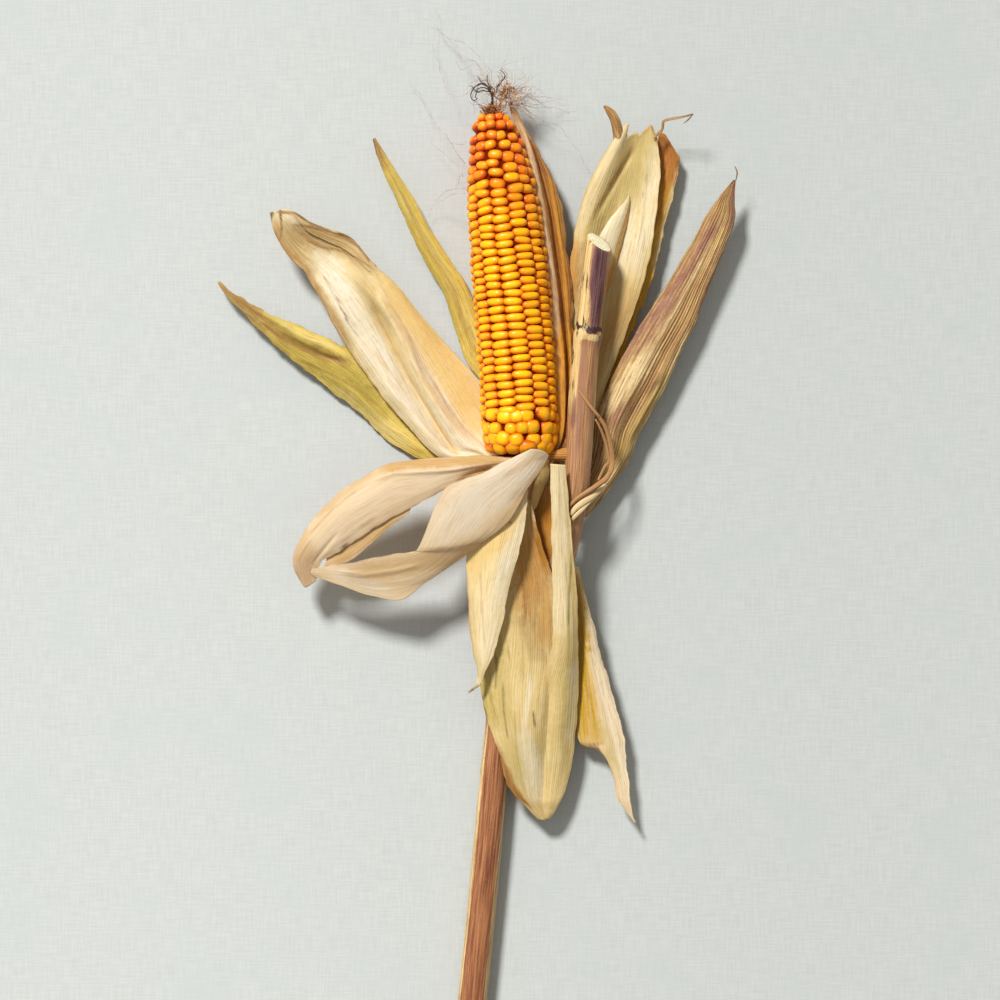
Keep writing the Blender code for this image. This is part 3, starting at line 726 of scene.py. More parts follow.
leftBroad = {
    "seed": 5.0, "folded": True, "columns": 64, "steps": 130, "frayed": 0.3, "waves": 0.9, "ruffle": 0.4,
    "rim": 0.5,
    "strokes": [
        # painted light: the pale strokes light the panel and ridge flanks that face the light, and the gold
        # and brown strokes on the right half and along the valleys are painted shade
        ("pale", 1, 7.5, [(-104, 104), (-97, 91), (-88, 75), (-78, 59), (-66, 42), (-52, 24), (-38, 8),
            (-26, -2)]),
        ("pale", 0.8, 2.6, [(-56, 54), (-48, 42), (-38, 26), (-28, 12), (-18, 3)]),
        ("pale", 0.5, 2.6, [(-76, 92), (-68, 78), (-60, 64), (-52, 54)]),
        ("gold", 1, 8, [(-70, 92), (-56, 73), (-42, 54), (-30, 36), (-24, 22)]),
        ("gold", 0.65, 2.2, [(-82, 92), (-76, 78), (-69, 62), (-60, 44), (-50, 27), (-40, 11), (-33, 0)]),
        ("brown", 0.45, 0.9, [(-78, 80), (-72, 68), (-67, 57), (-59, 42), (-49, 26), (-39, 10), (-33, 1)]),
        ("brown", 0.4, 0.8, [(-47, 42), (-39, 28), (-29, 15), (-17, 4)]),
        ("brown", 0.3, 0.9, [(-77, 99), (-71, 86), (-63, 70), (-56, 59)]),
        ("green", 1, 6, [(-125, 119), (-117, 107), (-113, 99)]),
        ("green", 1, 6.5, [(-122, 114), (-114, 117), (-104, 115), (-95, 112.5), (-87, 108), (-79, 101.5)]),
        ("purple", 1.5, 0.7, [(-119, 122), (-110, 121), (-100, 118.5), (-92, 115.6), (-85, 110.5),
            (-79.5, 103)]),
        # painted shade along the lower edge of the folded flap
        ("purple", 1.4, 0.6, [(-113, 114.5), (-105, 110.5), (-97, 109.5), (-90, 107), (-84, 103.6),
            (-78.6, 100.4)]),
        ("brown", 1, 3, [(-130, 122), (-126, 113), (-119, 104), (-112, 95), (-105, 84), (-98, 71),
            (-91, 57)]),
        ("dark", 1, 1.7, [(-133.5, 142), (-131.2, 128), (-136, 114)]),
        ("purple", 1.6, 0.7, [(-127.4, 138), (-126.2, 129), (-125.6, 120), (-126.2, 116), (-130, 108)]),
        ("purple", 1.3, 0.7, [(-131, 122), (-127, 113), (-120, 104), (-113, 95), (-106, 84), (-99, 71),
            (-92, 57)]),
        ("brown", 0.5, 6, [(-124, 116), (-114, 117), (-104, 115), (-95, 112.5), (-87, 108), (-80, 102)]),
        ("purple", 1.5, 0.8, [(-128, 129), (-118, 128), (-110, 123), (-100, 120.5), (-91, 117.5),
            (-84, 112)]),
        ("brown", 0.6, 1, [(-119, 128), (-116, 123), (-112, 121.5)]),
        ("pale", 0.5, 2.6, [(-128, 127), (-121, 125), (-115, 121)]),
        ("green", 0.7, 4, [(-86, 98), (-82, 89), (-77, 80), (-70, 66)]),
        ("green", 0.6, 3, [(-112, 94), (-107, 86), (-100, 76), (-93, 66), (-89, 58)]),
        ("purple", 0.9, 0.5, [(-104, 96), (-97, 84), (-91, 72), (-85, 63)]),
        ("brown", 0.5, 0.6, [(-96, 66), (-88, 54), (-78, 38), (-66, 22), (-54, 8), (-44, 0)]),
    ],
    "creases": [
        (-1.5, 1.9, [(-80, 84), (-74, 70), (-68, 58), (-60, 42), (-50, 26), (-40, 10), (-33, 0)]),
        (0.9, 1.6, [(-76, 88), (-68, 72), (-58, 56), (-52, 40), (-44, 27), (-33, 10)]),
        (-0.8, 1.0, [(-52, 48), (-46, 41), (-38, 27), (-28, 14), (-17, 4)]),
        (0.7, 1.0, [(-104, 97), (-97, 85), (-91, 73), (-85, 64)]),
    ],
    "marks": [("brown", (0.965, 2), (0.55, 2), 0.8, 0.03)],
    "net": [
        [(-17, -9, 14), (-15.5, -7.5, 15), (-14, -6, 13.5), (-12.5, -4.5, 14.5), (-11, -3.5, 12),
         (-9.5, -2.5, 11), (-8, -1, 8.5), (-7.6, -1.4, 8.3)],
        [(-30, -4, 12.5), (-26, -1, 14), (-23, 1, 10.5), (-20, 3, 12.5), (-16, 5, 8), (-12, 7, 6), (-8, 9, 4),
         (-7.5, 8.6, 3.8)],
        [(-43, 0, 10), (-39.5, 2.8, 12.8), (-36.5, 5, 8), (-31, 9, 11.2), (-25.5, 12.8, 6.2), (-18, 17, 5),
         (-11, 21, 3.2), (-10.5, 20.6, 3)],
        [(-60, 17, 9), (-55.3, 20.7, 13), (-50.3, 24.5, 7.8), (-45, 28.3, 11.8), (-39.3, 32.5, 6.8),
         (-31, 37.5, 5.8), (-25, 43, 3.6), (-24.5, 42.6, 3.4)],
        [(-75, 35, 9), (-69.3, 39, 13.6), (-62, 44.8, 8.6), (-56.5, 49, 12.8), (-51.5, 52.5, 8.8),
         (-45, 57, 8), (-40.5, 60, 5), (-40, 59.6, 4.8)],
        [(-88, 53, 10), (-81.8, 57.2, 14.4), (-72.2, 65, 10.6), (-66, 69, 14), (-61.5, 71.5, 11.4),
         (-57.5, 75, 11), (-55.5, 78, 8), (-55, 77.6, 7.8)],
        [(-98, 69, 12), (-92.5, 72.5, 15.2), (-81.5, 79.7, 12.6), (-76, 82.5, 14.8), (-72, 85, 13.6),
         (-69, 88, 13), (-66.5, 91.5, 10.5), (-66, 91, 10.3)],
        [(-107, 86, 14.8), (-102.5, 88.5, 15.2), (-93, 93.5, 13), (-88, 96, 13.8), (-84, 98.3, 13),
         (-80.5, 100, 13), (-77.6, 102, 13.3), (-80, 98.5, 13.25)],
        [(-113, 96.5, 17.4), (-109.5, 99, 14.6), (-104, 103.5, 12.6), (-99.5, 107, 12.4), (-95.5, 110, 12.8),
         (-92.2, 112.4, 13.6), (-89, 115.2, 14.2), (-92.8, 109.4, 13.55)],
        [(-119.5, 103.5, 19), (-117, 106, 16), (-113, 109.5, 14), (-109, 113, 14), (-106, 115.5, 14.6),
         (-103.5, 117.5, 15.6), (-100.8, 119.6, 16.1), (-104.1, 114.2, 14.95)],
        [(-126, 111.5, 20), (-123, 113.5, 18), (-120, 116, 17), (-117, 118.5, 17.2), (-114.5, 120.5, 18),
         (-112.5, 122, 18.6), (-110.3, 123.4, 18.8), (-113, 119.2, 18.15)],
        [(-129.8, 120, 20.2), (-127.5, 121.5, 19.6), (-125, 123, 19.6), (-122.5, 124.5, 19.8),
         (-120.5, 126, 20), (-119, 127.2, 20.3), (-117.5, 128.3, 20.5), (-118.6, 126.3, 20.35)],
        [(-131.8, 128.3, 19.6), (-130.5, 129, 20.1), (-129.2, 129.4, 20.3), (-128, 129.7, 20.3),
         (-126.8, 129.9, 20.3), (-125.5, 130.1, 20.2), (-124, 130.3, 20), (-124.3, 129.7, 20.4)],
    ],
}
addLeaf("huskLeftBroad", leftBroad, husks["cream"], "husk_cream", "husk_left_broad")

leftNarrow = {
    "seed": 8.0, "columns": 22, "steps": 130, "frayed": 0.3, "waves": 0.6, "ruffle": 0.4,
    "strokes": [
        ("brown", 1, 4.5, [(-78, 171), (-76, 164), (-73, 155)]),
        ("green", 0.5, 5, [(-70, 150), (-54, 116), (-40, 90), (-30, 66)]),
        ("gold", 0.5, 1.3, [(-70, 148), (-58, 121), (-46, 97), (-38, 80), (-30, 60)]),
        ("pale", 0.4, 1.6, [(-66, 142), (-52, 118), (-40, 98), (-32, 80), (-24, 60)]),
        ("brown", 0.35, 0.7, [(-64, 142), (-50, 116), (-38, 94), (-30, 82)]),
        ("dark", 0.8, 0.5, [(-27.3, 68.2), (-26.7, 67.8)]),
        ("purple", 1.4, 1.5, [(-79, 174), (-77, 167), (-74.6, 160.5), (-73.6, 152)]),
        ("dark", 0.8, 0.6, [(-78.6, 172), (-77.4, 166), (-76.4, 161)]),
    ],
    "net": [
        [(-7, -9, 8), (-5, -9, 8.2), (-2.5, -9, 8), (-0.5, -9, 8), (2, -9, 7.5)],
        [(-9, 12, 1.2), (-6, 12, 1.6), (-3, 12, 1.2), (0, 12, 1.5), (3, 12, 1.2)],
        [(-16, 33, 1.1), (-13.2, 33.8, 2.2), (-10.3, 34.6, 1.4), (-7.4, 35.3, 2), (-4.5, 36, 1)],
        [(-28, 50, 1.6), (-24.6, 51.6, 3.2), (-21, 53.2, 2), (-17.2, 54.7, 2.6), (-13.5, 56.2, 1.2)],
        [(-34.5, 68, 3.2), (-31.2, 70, 5.2), (-28.3, 71.8, 3.6), (-25.2, 73.6, 4.4), (-22, 75.4, 2.8)],
        [(-40.3, 86, 5.4), (-37.3, 87.6, 7.2), (-34.5, 89, 5.4), (-31.6, 90.4, 6.2), (-28.7, 91.8, 4.6)],
        [(-48.7, 100.5, 6.6), (-46, 101.7, 8.2), (-43.3, 103, 6.4), (-40.6, 104.2, 7.2), (-38, 105.4, 5.6)],
        [(-57, 117, 7.6), (-54.6, 118, 9), (-52.4, 119, 7.5), (-50.1, 119.8, 8.2), (-47.8, 120.7, 6.8)],
        [(-63.5, 132, 8.6), (-61.6, 132.9, 9.6), (-59.7, 133.8, 8.5), (-57.7, 134.6, 9), (-55.8, 135.4, 8)],
        [(-70, 146, 9), (-68.4, 146.7, 9.8), (-66.9, 147.3, 9.2), (-65.4, 148, 9.4), (-64, 148.6, 9)],
        [(-74.8, 157, 9.4), (-73.7, 157.4, 9.8), (-72.6, 157.8, 9.6), (-71.5, 158.2, 9.6),
         (-70.5, 158.6, 9.3)],
        [(-77.9, 167.8, 9), (-77.6, 168, 9.1), (-77.3, 168.2, 9.1), (-77, 168.4, 9.1), (-76.6, 168.7, 9)],
    ],
}
addLeaf("huskLeftNarrow", leftNarrow, husks["greenish"], "husk_green", "husk_left_narrow")

rightInner = {
    "seed": 11.0, "columns": 34, "steps": 150, "frayed": 0.3, "waves": 0.5, "ruffle": 1.5, "folds": 1.0,
    "foldSize": 2.6,
    "ribLift": 0.16, "wavy": 2.4,
    "strokes": [
        # painted light: the pale strokes are painted highlights on the lit crests of the two folds, and the
        # first brown stroke is the painted shadow line between them
        ("pale", 0.95, 2.2, [(-2, 178), (3, 167), (7.5, 150), (11.5, 128), (16, 98), (18.5, 74), (20.4, 50),
            (21, 18)]),
        ("brown", 0.85, 1.8, [(6, 165), (11.4, 148), (15.4, 130), (20, 100), (22.6, 74), (24.6, 50),
            (24.6, 20)]),
        ("gold", 0.7, 2.2, [(16, 146), (20, 126), (23.5, 98), (25.5, 74)]),
        ("pale", 0.7, 1.2, [(8, 166), (14.5, 156), (19, 143), (23, 124), (26, 95), (27.5, 72)]),
        ("gold", 1.5, 5, [(24, 66), (24, 35), (22.5, 12)]),
        ("brown", 0.85, 0.8, [(27.5, 64), (27, 40), (25.5, 14), (20, 3)]),
        ("brown", 0.5, 0.7, [(15.5, 126), (18.5, 100), (21, 74), (22.5, 60)]),
    ],
    "parts": ["Strap"], "columnsStrap": 8, "stepsStrap": 12,
    "marksStrap": [("gold", (-1, 2), (-1, 2), 0.5, 0.1), ("dark", (-1, 0.1), (-1, 2), 0.8, 0.1)],
    "netStrap": [
        [(14, -2.4, 26.5), (14, -0.4, 28.3), (14, 1.6, 28.9), (14, 3.6, 27)],
        [(19.5, -2.6, 27), (19.5, -0.6, 28.8), (19.5, 1.4, 29.3), (19.5, 3.6, 28)],
        [(26, -2.4, 27.6), (26, -0.4, 29.2), (26, 1.6, 29.8), (26, 3.8, 28.6)],
    ],
    "net": [
        [(14, -5, 27), (16, -5.5, 28), (17, -6, 26), (18, -6.5, 25), (19, -7, 24)],
        [(16.5, 4, 26), (19.5, 3.5, 26), (20.8, 3.5, 24), (22, 3, 23.5), (23.5, 2.5, 21)],
        [(18, 15, 23), (22.5, 14, 24), (24, 14, 20.5), (25.6, 13.5, 21), (27.2, 13, 17.5)],
        [(17.6, 30, 22.4), (23.2, 30, 23), (25, 30, 18.5), (27, 30, 20.5), (28.8, 30, 16)],
        [(16.8, 50, 21.8), (22.8, 50, 22.2), (24.8, 50, 17.5), (27.2, 50, 19.8), (29.4, 50, 15.5)],
        [(15.4, 72, 21.2), (20.8, 72, 21.6), (23, 72, 16.5), (25.6, 72, 19.2), (28, 72, 15)],
        [(13.4, 95, 20.6), (18.6, 95, 21), (20.8, 95, 15.8), (23.6, 95, 18.8), (26.4, 95, 14.5)],
        [(10.4, 115, 20.2), (15.6, 115, 20.6), (17.8, 115, 15.2), (21, 115, 18.2), (24.2, 115, 14)],
        [(7.2, 133, 20), (12.8, 133, 20.4), (15, 133, 14.8), (18.2, 133, 17.6), (21.2, 133, 13.5)],
        [(4, 148, 19.6), (9.4, 148, 20), (11.4, 148, 14.6), (15, 148, 17.2), (18, 148, 13.3)],
        [(1.6, 160, 18.8), (6.4, 160, 19.4), (8, 160, 15.3), (10, 159, 16.4), (11.7, 158, 13.8)],
        [(-1, 170, 18), (3, 170, 19), (4, 169.5, 17), (4.8, 169, 16.8), (5.6, 168.5, 15.6)],
        [(-4, 179, 17.5), (-1.5, 179, 18.5), (-1, 178.8, 18), (-0.6, 178.5, 17.6), (-0.2, 178.2, 17.2)],
        [(-5.4, 187, 17.5), (-5.1, 187.1, 17.8), (-4.9, 187.1, 17.8), (-4.7, 187.1, 17.8), (-4.4, 187, 17.8)],
    ],
}
addLeaf("huskRightInner", rightInner, husks["ruddy"], "husk_cream", "husk_right_inner")

rightBroad = {
    "seed": 14.0, "columns": 56, "steps": 130, "frayed": 0.15, "waves": 0.5, "ruffle": 0.15,
    "parts": ["Tongue", "Spike"],
    "torn": [0.01, -0.01, 0.0, 0.055, 0.03, 0.012, 0.02, -0.01, 0.0, -0.015, 0.02, 0.045],
    "strokes": [
        ("brown", 1.1, 1.6, [(67.5, 178), (70.5, 173), (72.5, 166)]),
        ("purple", 1.3, 2.6, [(43, 189), (45.5, 182), (48, 176), (50, 171)]),
        # painted light: the pale strokes light the left wall's crest and the right panel, which face the
        # light, and the green and brown strokes along the crease paint the shade in the trough
        ("pale", 0.4, 3.2, [(56, 174), (50, 163), (43, 149), (36, 134), (31, 120)]),
        ("green", 0.5, 4.2, [(61, 163), (56, 153), (49, 140), (42, 127), (38, 118)]),
        ("green", 0.5, 7, [(66, 168), (64, 154), (57, 138)]),
        ("pale", 0.8, 5, [(71, 160), (69, 140), (66, 120), (60, 100)]),
        ("pale", 0.8, 4, [(60, 130), (56, 110), (54, 98)]),
        ("gold", 0.35, 6, [(58, 86), (52, 74), (47, 62)]),
        ("brown", 0.4, 6, [(60, 82), (54, 68), (46, 48)]),
        # painted shade where this leaf lies in the stalk's shadow
        ("gold", 0.8, 3.5, [(28, 112), (27, 96), (27, 80)]),
        ("brown", 0.5, 1.6, [(33, 112), (30.5, 98), (29, 80)]),
        ("brown", 0.75, 1.3, [(60, 164), (54, 153), (45, 138), (38, 124)]),
        ("dark", 0.5, 0.5, [(66.5, 149), (66, 145)]),
        ("dark", 0.5, 0.5, [(65, 140), (64.8, 137)]),
        ("brown", 0.4, 0.7, [(65.5, 120), (65, 108)]),
        ("brown", 0.6, 1.6, [(63, 172), (67, 173), (70, 174)]),
    ],
    "creases": [
        (-1.2, 1.6, [(60, 163), (54, 152), (46, 138), (39, 125)]),
        (0.6, 0.9, [(66, 160), (66, 145), (64, 125), (60, 104)]),
    ],
    "net": [
        [(13.5, -12, 15), (14, -13.5, 15.5), (14.5, -15, 14), (15, -16, 13.5), (15.5, -17, 13),
         (16, -18, 12)],
        [(20, 8, 10), (23, 7, 11), (26, 6, 9), (28.5, 5, 9), (31, 4, 10), (33, 2, 9)],
        [(23, 35, 9), (27, 35, 10.5), (31.5, 34, 7), (35.5, 33, 7.5), (39.5, 32, 10), (43, 31, 9.5)],
        [(24.5, 65, 10), (29, 65, 12), (35, 64, 7.5), (43, 63, 8.5), (49.5, 62.5, 12), (54.5, 62, 11.5)],
        [(25.3, 86, 12.5), (31, 86, 14), (38, 85, 10), (47.5, 84, 10.6), (56, 83.5, 13.5), (62, 83, 13)],
        [(27, 106, 15), (33.5, 106, 16), (42, 105, 12), (52, 104, 11.8), (61, 103.5, 14.5), (68, 103, 14.5)],
        [(29.5, 122, 16.5), (36, 122, 17.6), (46, 121, 13), (56, 120, 12.4), (64.5, 120, 14.5),
         (70.8, 120, 15.5)],
        [(33.5, 138, 18), (40.5, 138, 18.6), (50.5, 138, 13.6), (59.5, 138, 12.6), (67, 138, 14),
         (73, 138, 15.5)],
        [(40, 152, 18.5), (46.5, 152, 20), (54.5, 152, 14.6), (61.5, 152, 13.4), (68.5, 152, 14),
         (74, 151.5, 15.5)],
        [(47, 163.5, 18.8), (52, 164, 19.5), (58, 163.5, 14.2), (63.5, 163, 13), (69, 162.5, 14),
         (73, 161.5, 15)],
        [(54, 174, 18.5), (57.5, 175.5, 18.3), (60.5, 172, 15.5), (64.5, 171.5, 14.5), (68.5, 175, 14.5),
         (71.5, 173, 15)],
    ],
    "columnsSpike": 10, "stepsSpike": 30,
    "marksSpike": [("brown", (-1, 2), (0.05, 2), 1.0, 0.2), ("purple", (-1, 2), (0.2, 0.8), 0.8, 0.2),
                   ("dark", (-1, 2), (0.93, 2), 0.8, 0.05)],
    "netSpike": [
        [(49.5, 160, 16.5), (51, 160.5, 18), (52.6, 161, 18), (54, 161.5, 17)],
        [(49.6, 167, 17.5), (51.2, 167.6, 19.2), (52.8, 168.2, 19.2), (54.4, 168.8, 18)],
        [(48.6, 173.5, 18.5), (50, 174, 20.4), (51.6, 174.6, 20.4), (53, 175.4, 19)],
        [(47.6, 178, 19.5), (48.4, 178.8, 21), (49.6, 179.6, 21), (50.6, 180.4, 20)],
        [(45.2, 181.8, 20.5), (45.8, 182.4, 21.2), (46.8, 183, 21.2), (47.6, 183.4, 20.6)],
        [(43.8, 184, 21), (44, 184.3, 21.2), (44.3, 184.6, 21.2), (44.6, 184.8, 21)],
    ],
    "columnsTongue": 26, "stepsTongue": 70,
    # the gold band along the tongue's right edge is painted shade
    "marksTongue": [("gold", (0.8, 2), (0.1, 0.93), 0.9, 0.07), ("pale", (-1, 0.75), (0.2, 2), 1.0, 0.08)],
    "netTongue": [
        [(24, 60, 13), (28, 59, 13), (32, 58, 11.5), (36, 57, 10.8)],
        [(30, 85, 15), (35, 84, 14.5), (40, 83, 13), (44.5, 82, 11.5)],
        [(35, 102, 16.5), (40, 101, 16.5), (45.3, 100, 15.2), (50, 99, 12.8)],
        [(41, 115, 17), (45.5, 115, 17.3), (50, 114.5, 16.2), (54, 114, 13.4)],
        [(48, 126.5, 16), (51, 126.5, 16.6), (54, 126, 15.8), (56.6, 125.5, 13.6)],
        [(55, 134.5, 13.8), (56, 134.5, 14.4), (57, 134, 14.2), (57.9, 133.5, 13.4)],
        [(57.2, 138, 12.8), (57.4, 138, 12.9), (57.6, 137.9, 12.9), (57.8, 137.8, 12.8)],
    ],
}
addLeaf("huskRightBroad", rightBroad, husks["yellowing"], "husk_cream", "husk_right_broad")

rightBack = {
    "seed": 17.0, "columns": 30, "steps": 120, "frayed": 0.8, "waves": 0.6, "ruffle": 0.8,
    "strokes": [
        ("brown", 1.5, 7, [(73, 172), (76, 162), (80, 150)]),
        ("dark", 0.8, 1.4, [(75, 168), (76.5, 166.5)]),
        ("brown", 0.6, 2.6, [(78, 152), (76, 140), (73, 124)]),
        ("brown", 0.55, 5, [(58, 84), (50, 66), (42, 46)]),
        ("pale", 1, 2, [(83.6, 152), (81.4, 142), (77, 124), (71, 98)]),
        ("dark", 0.9, 1.2, [(84.4, 156.5), (83.6, 154)]),
    ],
    "net": [
        [(10, -19, 9), (11, -21, 9.5), (12, -23, 9.5), (13, -25, 9)],
        [(19, 10, 4), (25, 8, 4.6), (31, 6, 4.8), (37, 4, 4)],
        [(26, 35, 1.6), (33, 34, 3), (40, 33, 4), (47, 32, 2.8)],
        [(35, 65, 3), (42.5, 64, 5), (50, 63, 7.6), (57.5, 62, 7)],
        [(45, 95, 3.4), (53, 94.4, 6), (61.5, 93.7, 9), (69.5, 93, 8.4)],
        [(55, 122, 3.6), (62.5, 121.7, 6.4), (70, 121.3, 9.6), (76.5, 121, 9)],
        [(62, 142, 4.4), (69, 141.7, 7), (76, 141.3, 9.6), (81.5, 141, 9)],
        [(68, 156, 4.5), (73.5, 156, 7), (79, 155.8, 9.2), (84, 155.5, 8.6)],
        [(72, 164, 6.6), (75, 164.5, 8.2), (78, 164.5, 9.2), (80.8, 163.5, 8.8)],
        [(73.5, 170.5, 8.2), (74.6, 171, 8.8), (75.8, 171, 9), (77, 170, 8.8)],
    ],
}
addLeaf("huskRightBack", rightBack, husks["golden"], "husk_green", "husk_right_back")

rightStreaked = {
    "seed": 20.0, "columns": 54, "steps": 140, "frayed": 0.25, "waves": 0.6, "ruffle": 0.5, "folds": 0.55,
    "foldSize": 2.0,
    "ribEvery": 1.9, "ribLift": 0.17,
    "strokes": [
        ("purple", 1, 3.4, [(52, 51), (60, 61), (72, 76), (84, 92), (95, 109), (104, 125)]),
        ("purple", 0.75, 4, [(62, 58), (74, 73), (84, 88)]),
        ("pale", 0.9, 4.5, [(47, 26), (54, 36), (62, 46), (70, 57)]),
        ("pale", 0.6, 2, [(72, 62), (82, 78), (92, 96), (100, 114)]),
        ("purple", 0.8, 3.2, [(43, 12), (50, 20), (58, 28)]),
        ("purple", 0.9, 2.2, [(35, -6), (41, 4)]),
        ("brown", 0.8, 1.9, [(58, 28), (66, 36), (72, 43), (76, 43)]),
        ("dark", 0.6, 1.3, [(68, 34), (72, 39), (75, 42)]),
        ("green", 0.8, 4.2, [(80, 44), (70, 26), (58, 9), (46, -10)]),
        ("pale", 0.8, 1, [(88, 66), (79, 44), (68, 22), (56, 1), (43, -18), (35, -30)]),
        ("brown", 0.5, 0.8, [(76, 40), (65, 20), (52, 1), (42, -14)]),
        ("brown", 0.5, 5, [(82, 60), (89, 74), (95, 88)]),
        ("purple", 0.5, 2, [(95, 84), (100, 98), (106, 110)]),
        ("green", 0.5, 3, [(96, 106), (102, 118), (107, 130)]),
        ("purple", 1, 2.6, [(113.4, 147), (113, 138), (112.6, 130), (110, 121)]),
        ("brown", 0.6, 6, [(70, 52), (80, 66), (88, 80), (96, 94)]),
        ("brown", 0.6, 1, [(108, 138), (100, 122)]),
        ("gold", 0.8, 3.2, [(86, 70), (94, 88), (102, 108), (108, 126)]),
    ],
    "net": [
        [(10, -30, 14), (10.6, -31.5, 14.5), (11.2, -33, 14.5), (11.8, -34.5, 13.5), (12.4, -36, 13),
         (13, -37, 12)],
        [(27, -20, 13.5), (28, -22.5, 14.5), (29, -25.5, 14.5), (30, -28.5, 12.5), (31, -31, 12.5),
         (32, -33.5, 10.5)],
        [(35.5, -6, 13), (38.5, -8.5, 15), (41.3, -11, 15.5), (43.6, -13.2, 13), (45.6, -15, 13.5),
         (47.5, -16.8, 11)],
        [(38.5, 9, 12.6), (43.5, 6.6, 15.3), (48, 4.3, 16.2), (52, 2.2, 13.1), (55.3, 0.5, 14),
         (58.2, -1, 11)],
        [(40.5, 22, 12.5), (46, 19.5, 15.5), (51, 17, 16.5), (55.5, 14.8, 13.3), (59.5, 13, 14.5),
         (63, 11.5, 11.5)],
        [(50, 45, 13), (56.5, 42, 16.5), (62, 39.5, 17.3), (67, 37, 14.2), (71.5, 35, 15), (75.5, 33.5, 12)],
        [(60, 63, 13.5), (66.5, 60.5, 16.8), (72, 58, 17.5), (76.5, 56, 15.3), (80.5, 54, 15.5),
         (84, 53, 12.8)],
        [(70, 80, 14), (76, 77.5, 16.8), (81.5, 75, 17.3), (86, 73, 16), (89.5, 71, 15.5), (92, 69.5, 13.5)],
        [(80, 95, 14.5), (85.5, 93, 16.8), (90, 91, 17), (93.5, 89.5, 16.3), (96.5, 88, 15.8),
         (98.7, 87, 14)],
        [(90, 112, 15), (94.5, 110, 16.8), (98.5, 108.2, 17), (101.5, 107, 16.5), (104.2, 106, 15.8),
         (106, 105, 14.5)],
        [(100, 130, 15.5), (103.8, 128.5, 16.8), (107, 127, 17), (109.3, 126, 16.5), (111.5, 125, 16),
         (113, 124.3, 15)],
        [(105, 137, 15.8), (107, 136.5, 16.6), (109, 136, 16.7), (110.5, 135.5, 16.3), (111.8, 135, 16),
         (113, 134.5, 15.4)],
        [(112.6, 146, 15.6), (112.8, 146, 15.7), (113, 145.9, 15.7), (113.2, 145.8, 15.7),
         (113.4, 145.7, 15.6), (113.6, 145.6, 15.5)],
    ],
}
addLeaf("huskRightStreaked", rightStreaked, husks["streaked"], "husk_streaked", "husk_right_streaked")

frontUpper = {
    "seed": 23.0, "columns": 50, "steps": 130, "frayed": 0.2, "waves": 0.6, "ruffle": 0.6, "folds": 0.1,
    "ribLift": 0.03,
    "strokes": [
        # painted shade: the gold band along the top edge is warm shade where the margin turns away, with
        # light coming through it
        ("gold", 1.2, 3, [(-8, -1.4), (-30, -2.6), (-46, -3.2), (-60, -3.8), (-72, -6.5)]),
        ("gold", 0.55, 1.8, [(-76, -8), (-86, -14.5), (-96, -22), (-106, -31)]),
        ("pale", 0.35, 8, [(-30, -7), (-50, -12), (-68, -17), (-84, -29), (-98, -43), (-108, -52)]),
        ("gold", 1, 1.7, [(-31, -11.4), (-22, -8.6), (-13, -4.4)]),
        ("brown", 0.9, 0.7, [(-33, -12.4), (-22, -10.2), (-13, -6)]),
        ("dark", 1, 1.3, [(-93.5, -48.4), (-91, -46.8)]),
        ("dark", 0.8, 0.5, [(-88.5, -46.4), (-85.5, -43.6)]),
        ("dark", 1, 1.1, [(-77.6, -38.9), (-75, -37.2)]),
        ("dark", 0.7, 0.5, [(-74, -36.4), (-71.6, -34.8)]),
        ("gold", 0.6, 6, [(-118, -38), (-113, -52), (-112, -66)]),
        ("purple", 0.35, 6.5, [(-117, -52), (-115, -60), (-113, -68)]),
        ("brown", 0.35, 1, [(-110, -58), (-100, -50), (-88, -40), (-76, -32)]),
        ("brown", 0.4, 0.6, [(-110, -40), (-98, -27), (-86, -18)]),
    ],
    "creases": [
        (0.8, 1.2, [(-12, -3.4), (-34, -7), (-50, -8), (-66, -8.6), (-78, -13)]),
        (-0.8, 1.4, [(-10, -5), (-24, -9), (-34, -12.5)]),
        (-0.7, 1.1, [(-112, -60), (-104, -50), (-94, -38)]),
        (0.6, 1.0, [(-118, -56), (-113, -47), (-106, -38)]),
    ],
    "net": [
        [(-5, -1, 38.5), (-5.5, -2.5, 39.5), (-6, -4, 39), (-7, -6, 37.5), (-8, -8, 36)],
        [(-19, 0.2, 36.5), (-19.5, -2.6, 39), (-20, -5.5, 38.5), (-20.5, -8, 37.5), (-21, -10.4, 37)],
        [(-36, -0.2, 35.8), (-36, -5.4, 40), (-35.5, -8.5, 39.8), (-35, -12, 39.2), (-34, -14.8, 38.3)],
        [(-53, -1.3, 34.2), (-52.5, -6, 39), (-51, -12, 39.2), (-49.5, -18, 38.7), (-47.5, -21.8, 37.3)],
        [(-70, -4, 31.5), (-69.5, -7.6, 36), (-67.5, -15, 37.7), (-65, -24, 37), (-62, -29.4, 35.2)],
        [(-85, -12.3, 29.5), (-84, -15, 33), (-82, -23, 35.7), (-80, -32, 35), (-77, -38.2, 33)],
        [(-99, -22.3, 27), (-97.5, -24.5, 30), (-95, -31, 32.7), (-92.5, -40, 32), (-89, -46.2, 30)],
        [(-111, -36.2, 24), (-109, -38, 27), (-106, -42, 29.2), (-102.5, -48, 28.5), (-98, -51.8, 27)],
        [(-118.5, -49.5, 21.8), (-116, -50, 24.5), (-112.5, -51.5, 26), (-109, -53.5, 25.5),
         (-105, -56, 24.6)],
        [(-119.5, -57, 20.8), (-117.5, -57.5, 22.5), (-114.5, -58.5, 23.5), (-111, -59.5, 23.6),
         (-107, -60.5, 23.2)],
        [(-116.5, -64, 20.4), (-115, -66.5, 21), (-113, -68.8, 21.3), (-110, -67.2, 21.8), (-107, -65, 22.2)],
    ],
}
addLeaf("huskFrontUpper", frontUpper, husks["paper"], "husk_cream", "husk_front_upper")

